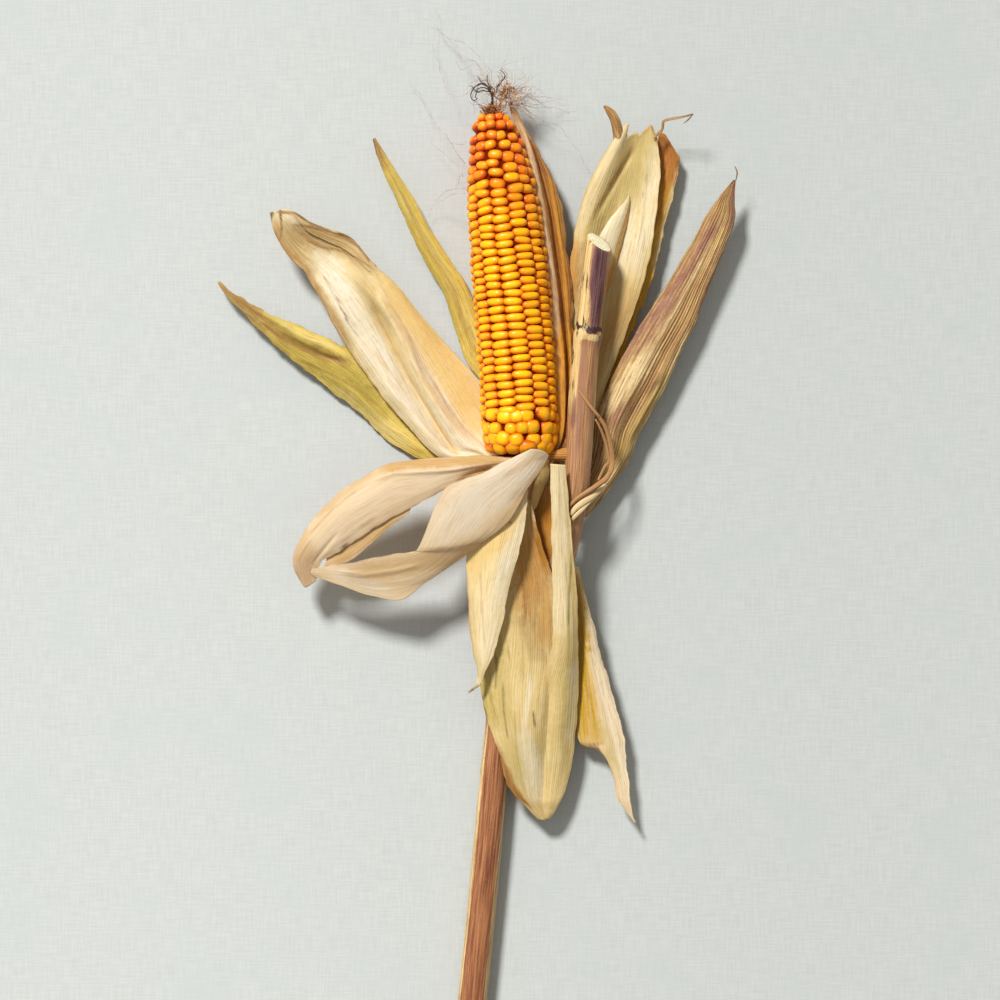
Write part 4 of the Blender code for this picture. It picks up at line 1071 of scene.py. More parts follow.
frontTuck = {
    "seed": 26.0, "columns": 14, "steps": 60, "frayed": 0.4, "waves": 0.3, "ruffle": 0.4, "folds": 0.15,
    "strokes": [
        # painted shade: the folded-under margin is coloured gold all over for the shade it lies in
        ("gold", 0.95, 6, [(-62, -30), (-78, -42), (-100, -55)]),
        ("dark", 0.9, 0.9, [(-85.5, -53.5), (-83.5, -52.6)]),
    ],
    "net": [
        [(-57, -26.5, 35), (-58, -28.5, 34.8), (-59, -30.2, 34.6)],
        [(-66, -31, 33.8), (-67.5, -34, 33.2), (-68.5, -37, 32.6)],
        [(-78, -38.5, 31.4), (-79, -43, 30.8), (-79.5, -47, 30.2)],
        [(-88.5, -45.5, 28.8), (-89, -50, 28.4), (-89, -54.6, 27.8)],
        [(-101.5, -52.5, 25), (-102, -55, 24.7), (-103, -57.5, 24.4)],
    ],
}
addLeaf("huskFrontTuck", frontTuck, husks["paper"], "husk_cream", "husk_front_tuck")

frontLower = {
    "seed": 29.0, "columns": 54, "steps": 140, "frayed": 0.15, "waves": 0.6, "ruffle": 0.3, "folds": 0.08,
    "ribLift": 0.03,
    "strokes": [
        ("pale", 1, 11, [(6, -1), (-10, -12), (-25, -24), (-38, -38)]),
        ("gold", 0.62, 5, [(-86, -61), (-70, -59), (-56, -56), (-40, -53), (-24, -47)]),
        ("pale", 0.7, 3.5, [(-98, -60), (-86, -65), (-72, -70)]),
        ("gold", 0.5, 1.6, [(10, 2), (2, -4), (-8, -10)]),
        ("brown", 0.35, 0.6, [(-53, -48.6), (-36, -47.6), (-20, -45)]),
        ("gold", 0.6, 1.8, [(13, -3), (6, -14), (-2, -25), (-12, -37)]),
        ("brown", 0.6, 1, [(14, 0), (9, -1.5)]),
    ],
    "creases": [
        (0.5, 1.2, [(-98, -60), (-82, -62), (-66, -60), (-50, -56)]),
    ],
    "net": [
        [(3, 2.5, 43), (6, 3.8, 43.8), (9, 3.6, 43), (12.2, 2.8, 41), (15, 0.5, 38)],
        [(-9, -3.2, 43.6), (-4, -4, 44.3), (1, -5, 44), (6.5, -6.5, 42.5), (10.5, -7.5, 40.5)],
        [(-20, -8.8, 43.6), (-14, -10.5, 44.6), (-7.5, -12.5, 44), (-1, -15, 42.8), (4.5, -16, 40.5)],
        [(-32, -12.7, 43), (-25, -15.5, 44.2), (-17, -19, 43.8), (-8, -22.5, 42.5), (1, -22.5, 40)],
        [(-39.5, -17, 41.6), (-32, -21, 43.5), (-23, -25.5, 43), (-13, -29, 42), (-3, -29.5, 40)],
        [(-44.5, -26.5, 40), (-37, -30, 42), (-27.5, -33.5, 42), (-17.5, -36, 41), (-8, -35.5, 39.5)],
        [(-49, -37.5, 38.5), (-42, -39.5, 40), (-32, -41, 40.5), (-22.5, -42, 39.8), (-14, -40.5, 38.5)],
        [(-53.5, -48.3, 35.5), (-46, -48, 37.8), (-37, -47.3, 38.6), (-28.5, -46.3, 38.4),
         (-20, -44.5, 37.5)],
        [(-57, -50, 34.2), (-49.5, -50.5, 35.4), (-41, -50.8, 35.8), (-32.5, -50.3, 35.4),
         (-24, -48.3, 34.8)],
        [(-66, -51.2, 33.2), (-59, -54.5, 33), (-51.5, -57.5, 32.2), (-43.5, -59, 31), (-36, -56.8, 30.5)],
        [(-75, -52.8, 32), (-69, -57.5, 31.5), (-62.5, -62, 30.3), (-56, -66, 29), (-50, -66.2, 28)],
        [(-83, -54.3, 31), (-79, -59, 30.3), (-74.5, -64, 29.3), (-69.5, -69, 28), (-62.5, -75, 26.8)],
        [(-91, -56.2, 29.8), (-88.5, -60, 29.3), (-85.5, -64, 28.6), (-82, -68.2, 27.8), (-78, -73.2, 27)],
        [(-100, -57.4, 27.6), (-99, -59.6, 27.6), (-98, -61.6, 27.4), (-96.5, -64, 27), (-93.5, -67.8, 26.6)],
        [(-110.5, -59, 23.4), (-110.6, -59.8, 23.4), (-110.4, -60.8, 23.4), (-110, -61.8, 23.2),
         (-109, -62.8, 23)],
    ],
}
addLeaf("huskFrontLower", frontLower, husks["paper"], "husk_cream", "husk_front_lower")

downLeft = {
    "seed": 32.0, "columns": 40, "steps": 110, "frayed": 0.3, "waves": 0.6, "ruffle": 0.4,
    "strokes": [
        # painted light: the gold stroke darkens the upper-left part that lies in the shadow of the leaf above
        # it, and the pale strokes lighten the lit right part
        ("gold", 0.9, 5.5, [(-2, -28), (-8, -39), (-15, -47), (-23, -54), (-27, -62)]),
        ("dark", 0.9, 0.6, [(-5.8, -34.4), (-4.4, -35)]),
        ("pale", 0.6, 4, [(1, -28), (-3, -44), (-9, -62), (-12, -80)]),
        ("pale", 0.4, 5, [(-14, -70), (-16, -90), (-19, -106)]),
        ("green", 0.6, 2.4, [(-26, -72), (-25.6, -90), (-23.5, -104), (-21.5, -114)]),
        ("brown", 0.7, 0.6, [(-27.6, -64), (-26.6, -88), (-24.6, -104), (-22, -116)]),
        ("brown", 0.5, 0.6, [(-21, -60), (-20, -80), (-18.5, -100)]),
        ("brown", 0.6, 0.6, [(-1, -52), (-6, -70), (-7, -80)]),
        ("dark", 0.9, 1.6, [(-23, -121), (-27.5, -124)]),
    ],
    "parts": ["Back"], "columnsBack": 12, "stepsBack": 24,
    # the back piece's gold is partly painted shade, a layer lying in shade with light coming through
    "marksBack": [("gold", (-1, 2), (-1, 2), 1.0, 0.1), ("brown", (-1, 0.3), (-1, 2), 0.7, 0.2)],
    "netBack": [
        [(5, 1, 25.5), (9, 0, 28), (12.5, 0.5, 29), (16, 1.5, 27)],
        [(4, -11, 25), (8, -11, 27.8), (12, -10.5, 28), (15, -10, 26)],
        [(2, -21, 24), (6, -20.5, 26.6), (9.5, -19.5, 26.8), (12.4, -18, 25)],
        [(1.5, -30, 23), (4, -29.5, 25), (6.4, -28.5, 25.2), (8.4, -27, 24)],
    ],
    "net": [
        [(-8, -12, 33), (-5, -12.5, 34.5), (-2, -13, 35.5), (1, -13.5, 35.5), (4, -14, 35)],
        [(-19, -27, 33.5), (-13, -27, 36), (-6.5, -26.5, 37.3), (-1, -26, 37.3), (3.5, -25.5, 36.5)],
        [(-27, -43, 31), (-19, -42.5, 35), (-11, -42, 37), (-4, -41, 37), (1.8, -40.5, 36)],
        [(-28, -58, 28.5), (-21, -58, 32.5), (-14, -57.5, 35.3), (-8, -57, 35.5), (-2.5, -56.5, 34.5)],
        [(-27.3, -74, 26.5), (-22, -74, 30), (-16.5, -73.5, 32.5), (-11, -73, 33), (-6.5, -72.5, 32)],
        [(-26.6, -89, 25.3), (-22, -89, 28), (-17.5, -88.5, 30), (-13, -88.5, 30.5), (-9.3, -88, 30)],
        [(-25.2, -102, 24.8), (-22, -102, 26.8), (-18.8, -102, 28), (-16, -101.5, 28.5), (-13.3, -101.5, 28)],
        [(-22.8, -112, 24.8), (-21.3, -112.5, 26), (-20, -112.5, 26.7), (-18.8, -112.5, 26.7),
         (-17.8, -112.5, 26.5)],
        [(-22.5, -118.2, 24.8), (-22, -118.6, 25.2), (-21.5, -118.8, 25.4), (-21, -119, 25.5),
         (-20.4, -119.2, 25.4)],
        [(-24.5, -121, 24.5), (-24.2, -121.3, 24.7), (-24, -121.5, 24.8), (-23.8, -121.7, 24.8),
         (-23.5, -122, 24.8)],
        [(-27.3, -123.6, 24), (-27.2, -123.8, 24.1), (-27.1, -124, 24.1), (-27, -124.2, 24.1),
         (-26.9, -124.4, 24.1)],
    ],
}
addLeaf("huskDownLeft", downLeft, husks["cream"], "husk_cream", "husk_down_left")

downBroad = {
    "seed": 35.0, "columns": 60, "steps": 150, "frayed": 0.45, "waves": 0.7, "ruffle": 0.6,
    "strokes": [
        # painted shadow: the brown and gold strokes at the top paint the deep shade in the hollow below the
        # leaves above, with the warm tone of light coming through them
        ("brown", 0.6, 9, [(7, -40), (7, -58), (5.5, -74), (4.5, -82)]),
        ("brown", 0.6, 7, [(5, -76), (5, -88), (7, -95)]),
        ("brown", 0.5, 4.5, [(6, -88), (7, -98), (8.4, -104)]),
        ("gold", 0.6, 4.5, [(11, -62), (14, -80), (13, -97)]),
        ("gold", 0.8, 8, [(4, -40), (4, -60), (5, -76)]),
        ("brown", 0.9, 2.2, [(1, -64), (3, -78), (4.5, -92)]),
        ("gold", 1.5, 5, [(11, -20), (12, -36), (15, -58)]),
        ("brown", 0.5, 3, [(12, -26), (12.5, -38), (14.5, -54)]),
        # a painted highlight on the rolled edge's crest, with a painted shadow line beside it
        ("pale", 0.9, 0.9, [(6.5, -28), (9.5, -42), (13, -54), (16, -64)]),
        ("brown", 0.9, 0.6, [(5, -29), (8, -43), (11.4, -55), (14.5, -66)]),
        # painted highlights on the raised middle of the leaf
        ("pale", 0.6, 2, [(6, -116), (4, -130), (1, -147)]),
        ("pale", 0.9, 4.5, [(2, -147), (6, -162), (9, -178)]),
        ("green", 0.9, 4.5, [(-17, -104), (-19, -120), (-14, -140)]),
        ("green", 0.6, 5, [(-12, -96), (-11, -120), (-8, -140)]),
        ("brown", 0.8, 0.8, [(-20.5, -124), (-19, -132), (-17, -138)]),
        ("dark", 0.6, 0.6, [(-13, -103), (-12, -112), (-13, -122)]),
        ("dark", 0.55, 0.6, [(-9, -119), (-8.6, -134), (-6.4, -148)]),
        ("brown", 0.55, 0.6, [(-7, -95), (-5, -110)]),
        ("brown", 0.5, 0.5, [(-16, -110), (-15, -128), (-11, -142)]),
        # painted shade along the soft fold
        ("brown", 0.35, 1.6, [(12.5, -104), (13.6, -120), (13.4, -140)]),
        ("green", 0.7, 0.7, [(-3, -134), (-2, -155), (1, -170)]),
        ("green", 0.4, 5, [(-6, -150), (0, -168)]),
        ("gold", 1, 2.2, [(-9, -162), (-6, -171), (-1, -180)]),
        ("dark", 0.8, 1.2, [(-19.6, -132), (-18.2, -136)]),
        ("green", 0.3, 6, [(9, -151), (18, -151), (24, -148)]),
        ("dark", 1, 0.6, [(6.8, -134), (7.6, -142)]),
        ("dark", 0.9, 0.6, [(14.2, -166), (13.2, -175), (13, -183)]),
        ("brown", 1.3, 2, [(-13, -152), (-8, -165), (-3, -177), (4, -185)]),
        ("purple", 0.4, 5, [(9, -186), (14, -193)]),
    ],
    "creases": [
        (0.8, 1.0, [(6, -28), (9, -42), (12.5, -54), (15.5, -64)]),
        (-0.8, 1.0, [(4.5, -30), (7.5, -44), (11, -56)]),
        (-0.5, 0.8, [(-13, -103), (-12, -115), (-9, -132), (-6, -148)]),
    ],
    "parts": ["Wedge"], "columnsWedge": 12, "stepsWedge": 34,
    # the wedge is a deeper layer seen through the gap; its gold is painted shade with light coming through
    "marksWedge": [("gold", (-1, 2), (-1, 2), 1.0, 0.1), ("brown", (-1, 0.35), (-1, 2), 0.5, 0.25)],
    "netWedge": [
        [(9, -15, 21), (12, -14.5, 22), (15, -14, 22.4), (18.5, -14, 22)],
        [(8, -28, 20.6), (11.5, -27, 22), (15, -26.5, 22.2), (18.5, -26, 21.6)],
        [(10, -42, 20), (12.8, -42, 21.3), (16, -42, 21.6), (19, -42, 21)],
        [(14, -58, 19.6), (15.6, -58.5, 20.4), (17.4, -59, 20.6), (19.5, -60, 20.2)],
    ],
    "net": [
        [(-4, -20.5, 31), (-1.5, -21, 32.3), (1, -21.5, 32.6), (3, -22, 32.3), (4.5, -22.5, 32.5),
         (5.6, -23, 33.3)],
        [(-8, -35, 29), (-3.5, -35.5, 30), (1, -36, 29.5), (4.5, -36.3, 29), (7.2, -36.5, 30),
         (8.6, -37, 31.5)],
        [(-11, -48, 27), (-5, -48.5, 28), (1, -49, 26.5), (6, -49, 26), (10.5, -49, 27.5),
         (12.6, -49.5, 29.5)],
        [(-13.5, -62, 25.5), (-6.5, -62.5, 26.5), (1.5, -63, 25), (8.5, -63, 24.5), (14.5, -63, 25.5),
         (17.5, -63.5, 27)],
        [(-16.3, -80, 22), (-9, -81, 24.8), (0, -82, 25.5), (8.5, -82.5, 24), (16.5, -82.5, 23.5),
         (21.5, -83, 22.5)],
        [(-19, -100, 18.5), (-11, -102, 22.5), (-1, -103, 24.5), (8.5, -104, 23.5), (17.5, -104, 21),
         (23, -104, 18.5)],
        [(-21, -119, 15.5), (-14, -122, 20), (-3, -124, 24), (7.5, -125.5, 24), (15, -126, 21.6),
         (22, -126, 15)],
        [(-17.3, -138, 18), (-11.5, -141, 20.5), (-2, -144, 22.5), (6.5, -146, 22), (13.6, -147, 18.4),
         (21, -147, 12.5)],
        [(-11, -156, 19), (-6.5, -159, 19.5), (0.5, -162, 19), (7, -164, 18), (13, -166, 14.8),
         (19, -166, 11)],
        [(-6, -174, 15), (-2, -176, 15.5), (3, -178, 15), (8, -180, 14.4), (12.4, -181, 13),
         (16.5, -181, 11.4)],
        [(3, -184.5, 12.4), (5.4, -185.3, 12.8), (8, -186, 12.8), (10.6, -186.4, 12.4), (13.2, -186.6, 12),
         (16, -186, 11.4)],
        [(9.6, -191.4, 11.4), (10.6, -191.8, 11.6), (11.6, -192, 11.7), (12.6, -192, 11.6),
         (13.6, -191.8, 11.4), (14.6, -191.4, 11)],
    ],
}
addLeaf("huskDownBroad", downBroad, husks["yellowing"], "husk_green", "husk_down_broad")

downStrip = {
    "seed": 38.0, "columns": 34, "steps": 150, "frayed": 0.25, "waves": 0.4, "ruffle": 0.25, "folds": 0.25,
    "strokes": [
        # painted light: the pale stroke down its left side lightens the face turned to the light
        ("pale", 0.6, 5, [(19, -4), (20, -30), (21, -60), (22, -90)]),
        ("green", 0.75, 0.9, [(27, -50), (26, -66), (25, -82), (25.6, -98), (25, -112)]),
        ("dark", 0.45, 0.5, [(26.6, -56), (25.6, -72), (25.2, -88)]),
        ("brown", 0.35, 0.5, [(20, -8), (20.6, -30), (22, -52)]),
        ("green", 0.45, 5, [(24, -118), (24, -135), (21, -150)]),
        ("pale", 0.7, 2, [(28, -110), (28, -130), (25, -150)]),
        # painted shade along the fold where this strip meets the broad leaf
        ("brown", 0.35, 2.4, [(14.5, -112), (14, -130)]),
        ("brown", 0.6, 2, [(14, -184), (18, -184)]),
    ],
    "net": [
        [(15.8, -3.8, 37), (18, -4, 37.6), (20.5, -4.2, 37.6), (23.6, -4.4, 36.5)],
        [(16, -20, 36.6), (19, -20, 37.6), (22, -20, 37.4), (25, -20, 36.2)],
        [(16.3, -40, 34.5), (19.5, -40, 36), (23, -40, 35.8), (26.6, -40, 34.3)],
        [(16.8, -60, 32), (20.5, -60, 33.7), (24.5, -60, 33.5), (28.8, -60, 31.5)],
        [(17.2, -80, 29.7), (21.5, -80, 31.5), (25.7, -80, 31), (30, -80, 27.8)],
        [(16.5, -100, 27), (21, -100, 29), (26, -100, 28), (30.5, -100, 23.5)],
        [(11, -119, 18), (16, -120, 22.8), (23.5, -120, 23.4), (31, -119, 18)],
        [(9, -140, 14.5), (14.5, -141, 19.8), (22, -141, 20.4), (29.7, -140, 14.5)],
        [(9, -158, 12.5), (13.6, -159, 16.8), (20.5, -159.5, 17), (27.5, -159, 13)],
        [(9.5, -174, 11.5), (13.2, -175, 14.4), (18.5, -175, 14.8), (24.6, -174, 12.4)],
        [(12, -186, 12), (13.6, -186.5, 13.8), (16.5, -186.5, 14), (19.2, -186, 12.8)],
        [(13, -191, 11.6), (13.8, -191.4, 12), (14.8, -191.4, 12), (15.8, -191, 11.8)],
    ],
}
addLeaf("huskDownStrip", downStrip, husks["yellowing"], "husk_green", "husk_down_strip")

downRight = {
    "seed": 41.0, "columns": 44, "steps": 120, "frayed": 0.4, "waves": 0.4, "ruffle": 0.3, "folds": 0.25,
    "strokes": [
        ("gold", 1.3, 5.5, [(27, -66), (30, -84), (31, -104), (31, -124), (31.5, -149)]),
        ("gold", 1, 4, [(33.5, -110), (36.5, -130), (38.5, -150)]),
        ("brown", 0.4, 1.6, [(30.5, -64), (31.5, -85), (33.4, -100)]),
        ("brown", 0.8, 0.8, [(32, -151.5), (38, -152), (43, -151)]),
        ("pale", 1, 5, [(33, -76), (38, -95), (42, -112), (47, -130), (52, -148), (56, -168),
            (58, -184)]),
        ("green", 0.5, 3, [(42, -140), (47, -152), (51, -168)]),
        ("brown", 0.5, 0.7, [(38.4, -87), (42.6, -104), (47.2, -119)]),
    ],
    "net": [
        [(22, -58, 21), (25, -57.8, 22), (28, -57.5, 24), (29.5, -57.3, 23.5), (30.5, -57, 23)],
        [(24, -73, 16), (28, -72.5, 17.5), (31.8, -72.5, 20), (32.9, -72, 19.3), (33.8, -71.5, 18.5)],
        [(25.5, -89, 13.4), (29.8, -88.5, 15.4), (33.6, -88.5, 18.5), (36, -88, 17.5), (38.4, -87.5, 15.5)],
        [(27, -106, 12.6), (31.8, -105.5, 14.8), (35.9, -105, 18), (39, -104.5, 17), (42.3, -103.5, 14.5)],
        [(28, -122, 12), (33.4, -121.5, 14.2), (38.2, -121, 17.6), (42.6, -120, 16.6), (47, -119, 14)],
        [(29, -138, 11.4), (35.2, -137.5, 13.4), (41, -137, 16.6), (46.2, -136, 15.6), (51.3, -134.5, 13.5)],
        [(31.5, -151, 11), (37.4, -151.5, 12.4), (43.2, -150.5, 15.4), (49.2, -149.5, 14.8), (55, -148, 13)],
        [(40.5, -154.6, 9.5), (41.6, -155, 11), (43.2, -155, 15), (49, -154.4, 14.6), (55.5, -153.4, 12.7)],
        [(45.8, -160.5, 11), (46.2, -161, 12), (47, -161, 14), (51.5, -161, 13.8), (56, -160.5, 12.3)],
        [(50, -171.5, 11.5), (50.3, -172, 12), (50.8, -172, 13.3), (54, -172.3, 13), (57.4, -172.3, 12)],
        [(51, -180, 11.3), (51.8, -180.5, 11.8), (52.8, -181, 12.5), (55.5, -181.3, 12.3),
         (58.3, -181.3, 11.7)],
        [(56.6, -188, 11.2), (57.2, -188.2, 11.4), (57.9, -188.3, 11.5), (58.5, -188.5, 11.4),
         (59.2, -188.6, 11.2)],
        [(60.5, -193.5, 11), (60.7, -193.5, 11), (60.9, -193.4, 11), (61.1, -193.4, 11), (61.3, -193.3, 11)],
    ],
}
addLeaf("huskDownRight", downRight, husks["twoTone"], "husk_cream", "husk_down_right")
print("husk leaves ready")


# the stalk: a ribbed tube with two joints, cut across at the top, and the shank that holds the ear

tubeSamples = 400  # places along a tube's line that its length is measured at
stemSamples = 600  # places along the stalk that its marks are measured from


def tube(bm, line, sides, every, ridge=0.0, seed=0.0):
    # a tube along rows of (x, y, z, radius); its fibre map runs around and along it, in centimetres
    rows = [Vector(row) for row in line]
    samples = [along(rows, i / tubeSamples) for i in range(tubeSamples + 1)]
    reach = measured(samples)
    count = max(2, round(reach[-1] / every))
    stations = []
    side = None
    for i in range(count + 1):
        goal = reach[-1] * i / count
        k = next((n for n, r in enumerate(reach) if r >= goal - 1e-9), tubeSamples)
        before, after = samples[max(k - 1, 0)], samples[min(k + 1, tubeSamples)]
        here = samples[k]
        if k:
            here = before.lerp(here, (goal - reach[k - 1]) / (reach[k] - reach[k - 1] + 1e-9))
        ahead = (after.xyz - before.xyz).normalized()
        side = (side or ahead.cross(Vector((0, 0, 1)))).normalized()
        side = (side - ahead * side.dot(ahead)).normalized()
        stations.append((goal, here, side, side.cross(ahead)))

    # a flat grid is rolled up, its two long edges are welded and its ends are filled
    cells = gridCells(bm, sides, count)
    fibre = bm.loops.layers.uv.get("fibre") or bm.loops.layers.uv.new("fibre")
    girth = 2 * math.pi * max(row[3] for row in line) / 10
    for (i, j), vertex in cells.items():
        goal, here, across, up = stations[i]
        for loop in vertex.link_loops:
            loop[fibre].uv = (girth * j / sides, goal / 10)
        angle = 2 * math.pi * (j % sides) / sides
        turned = math.cos(angle) * 7, math.sin(angle) * 7
        grain = rough(Vector((*turned, goal / 40)), 2.0, seed)
        grain += 0.5 * rough(Vector((*turned, goal / 12)), 0.9, seed)
        vertex.co = here.xyz + (across * math.cos(angle) + up * math.sin(angle)) * (here.w + ridge * grain)
    bmesh.ops.weld_verts(bm, targetmap={cells[i, sides]: cells[i, 0] for i in range(count + 1)})
    rings = [[cells[i, j] for j in range(sides)] for i in range(count + 1)]
    for ring in (rings[0], rings[-1]):
        rim = list({edge for vertex in ring for edge in vertex.link_edges if edge.is_boundary})
        for face in bmesh.ops.contextual_create(bm, geom=rim)["faces"]:
            for loop in face.loops:
                loop[fibre].uv = (0, 0)
    return rings


stem = {
    "line": [
        (-26.5, -300, 7.7, 7.6), (-21.5, -250, 7.9, 7.6), (-17, -205, 8.3, 7.6), (-13, -162, 9, 7.4),
        (-10.8, -139, 10, 7.4), (-10, -132, 10.4, 8.7), (-7.5, -125, 11, 7), (-1.5, -112, 12.4, 6.6),
        (8, -92, 15, 6.5), (17, -70, 18.2, 6.4), (23.3, -50, 21.3, 6.4), (27, -32, 24, 6.6),
        (29.5, -15, 26, 6.8), (31.3, 10, 27, 7), (33.2, 40, 27, 7), (34.6, 57, 27, 7), (35.1, 62, 27, 7.5),
        (35.7, 66, 27, 7.2), (36.3, 71, 27, 6.6), (38.7, 90, 27.4, 6.7), (43, 124, 28.2, 6.8),
    ],
    "shank": [
        (-10, -131, 10.4, 5), (-9, -118, 12.4, 5.6), (-7.5, -95, 15.7, 5.8), (-4.5, -65, 19.2, 6),
        (-2, -38, 22.2, 6.3), (-1, -22, 23.4, 7.2), (-0.5, -11, 23.9, 9.2), (-0.2, -5, 24, 12),
        (0, -0.8, 24, 13.2),
    ],
    "cutAt": (41.5, 112.5, 27.8), "cutFacing": (0.49, 0.76, 0.42),
    "ridge": 0.32,
    "jointHeight": 64.0,  # where the upper joint is, along Y
    "lowerEnd": -290.0,  # a cap that lies below this along Y is the lower end
}


def stalkMaterial():
    g = Graph("stripedStalk")
    place = g.add("ShaderNodeUVMap", uv_map="fibre").outputs[0]
    rusty, cream, purple, black = g.painted("marks")
    fine = g.noise(place, 1.0, 5.0, 0.65, stretch=(9.0, 0.3, 1.0))
    broad = g.noise(place, 1.0, 3.0, 0.5, stretch=(2.2, 0.1, 1.0))
    grain = g.noise(place, 1.0, 4.0, 0.7, stretch=(12.0, 2.5, 1.0))
    colour = g.mix(g.span(fine, 0.38, 0.64), rgb(0.27, 0.115, 0.05), rgb(0.54, 0.3, 0.135))
    colour = g.mix(g.span(broad, 0.42, 0.68, 0.0, 0.55), colour, rgb(0.36, 0.19, 0.12))
    light = g.mix(g.span(fine, 0.3, 0.65), rgb(0.46, 0.29, 0.1), rgb(0.76, 0.58, 0.28))
    deep = g.mix(g.span(fine, 0.35, 0.65), rgb(0.04, 0.012, 0.02), rgb(0.19, 0.082, 0.082))
    rust = g.mix(g.span(fine, 0.35, 0.7), rgb(0.17, 0.05, 0.022), rgb(0.44, 0.19, 0.075))
    for amount, tone in ((rusty, rust), (cream, light), (purple, deep)):
        worn = g.math("ADD", amount, g.math("MULTIPLY", g.math("SUBTRACT", fine, 0.5), 0.7))
        colour = g.mix(g.math("MULTIPLY", g.span(worn, 0.28, 0.66), g.span(amount, 0.0, 0.1)), colour, tone)
    worn = g.math("ADD", black, g.math("MULTIPLY", g.math("SUBTRACT", grain, 0.5), 1.2))
    dark = g.math("MULTIPLY", g.span(worn, 0.3, 0.6), g.span(black, 0.0, 0.1))
    colour = g.mix(dark, colour, rgb(0.035, 0.012, 0.012))
    colour = g.mix(g.span(grain, 0.62, 0.78, 0.0, 0.45), colour, rgb(0.62, 0.43, 0.24))
    colour = g.mix(g.span(grain, 0.24, 0.38, 0.4, 0.0), colour, rgb(0.12, 0.045, 0.02))
    speckle = g.noise(place, 9.0, 4.0, 0.75)
    colour = g.mix(g.span(speckle, 0.28, 0.44, 0.6, 0.0), colour, rgb(0.16, 0.06, 0.03))
    colour = g.mix(g.span(speckle, 0.58, 0.74, 0.0, 0.5), colour, rgb(0.6, 0.42, 0.24))
    g.surface("Base Color", colour)
    g.surface("Roughness", g.span(fine, 0.3, 0.7, 0.42, 0.6))
    g.surface("Specular IOR Level", 0.35)
    normal = g.bump(fine, 0.0006, 0.7)
    g.surface("Normal", g.bump(grain, 0.0003, 0.5, normal))
    return g.material


def pithMaterial():
    g = Graph("palePith")
    place = g.place()
    grain = g.noise(place, 900.0, 4.0)
    dots = g.add("ShaderNodeTexVoronoi", {"Vector": place, "Scale": 800.0}, feature="F1").outputs[0]
    colour = g.mix(grain, rgb(0.56, 0.5, 0.28), rgb(0.88, 0.84, 0.66))
    colour = g.mix(g.span(dots, 0.16, 0.34, 0.8, 0.0), colour, rgb(0.22, 0.17, 0.07))
    g.surface("Base Color", colour)
    g.surface("Roughness", 0.85)
    g.surface("Normal", g.bump(grain, 0.0006, 0.8))
    return g.material


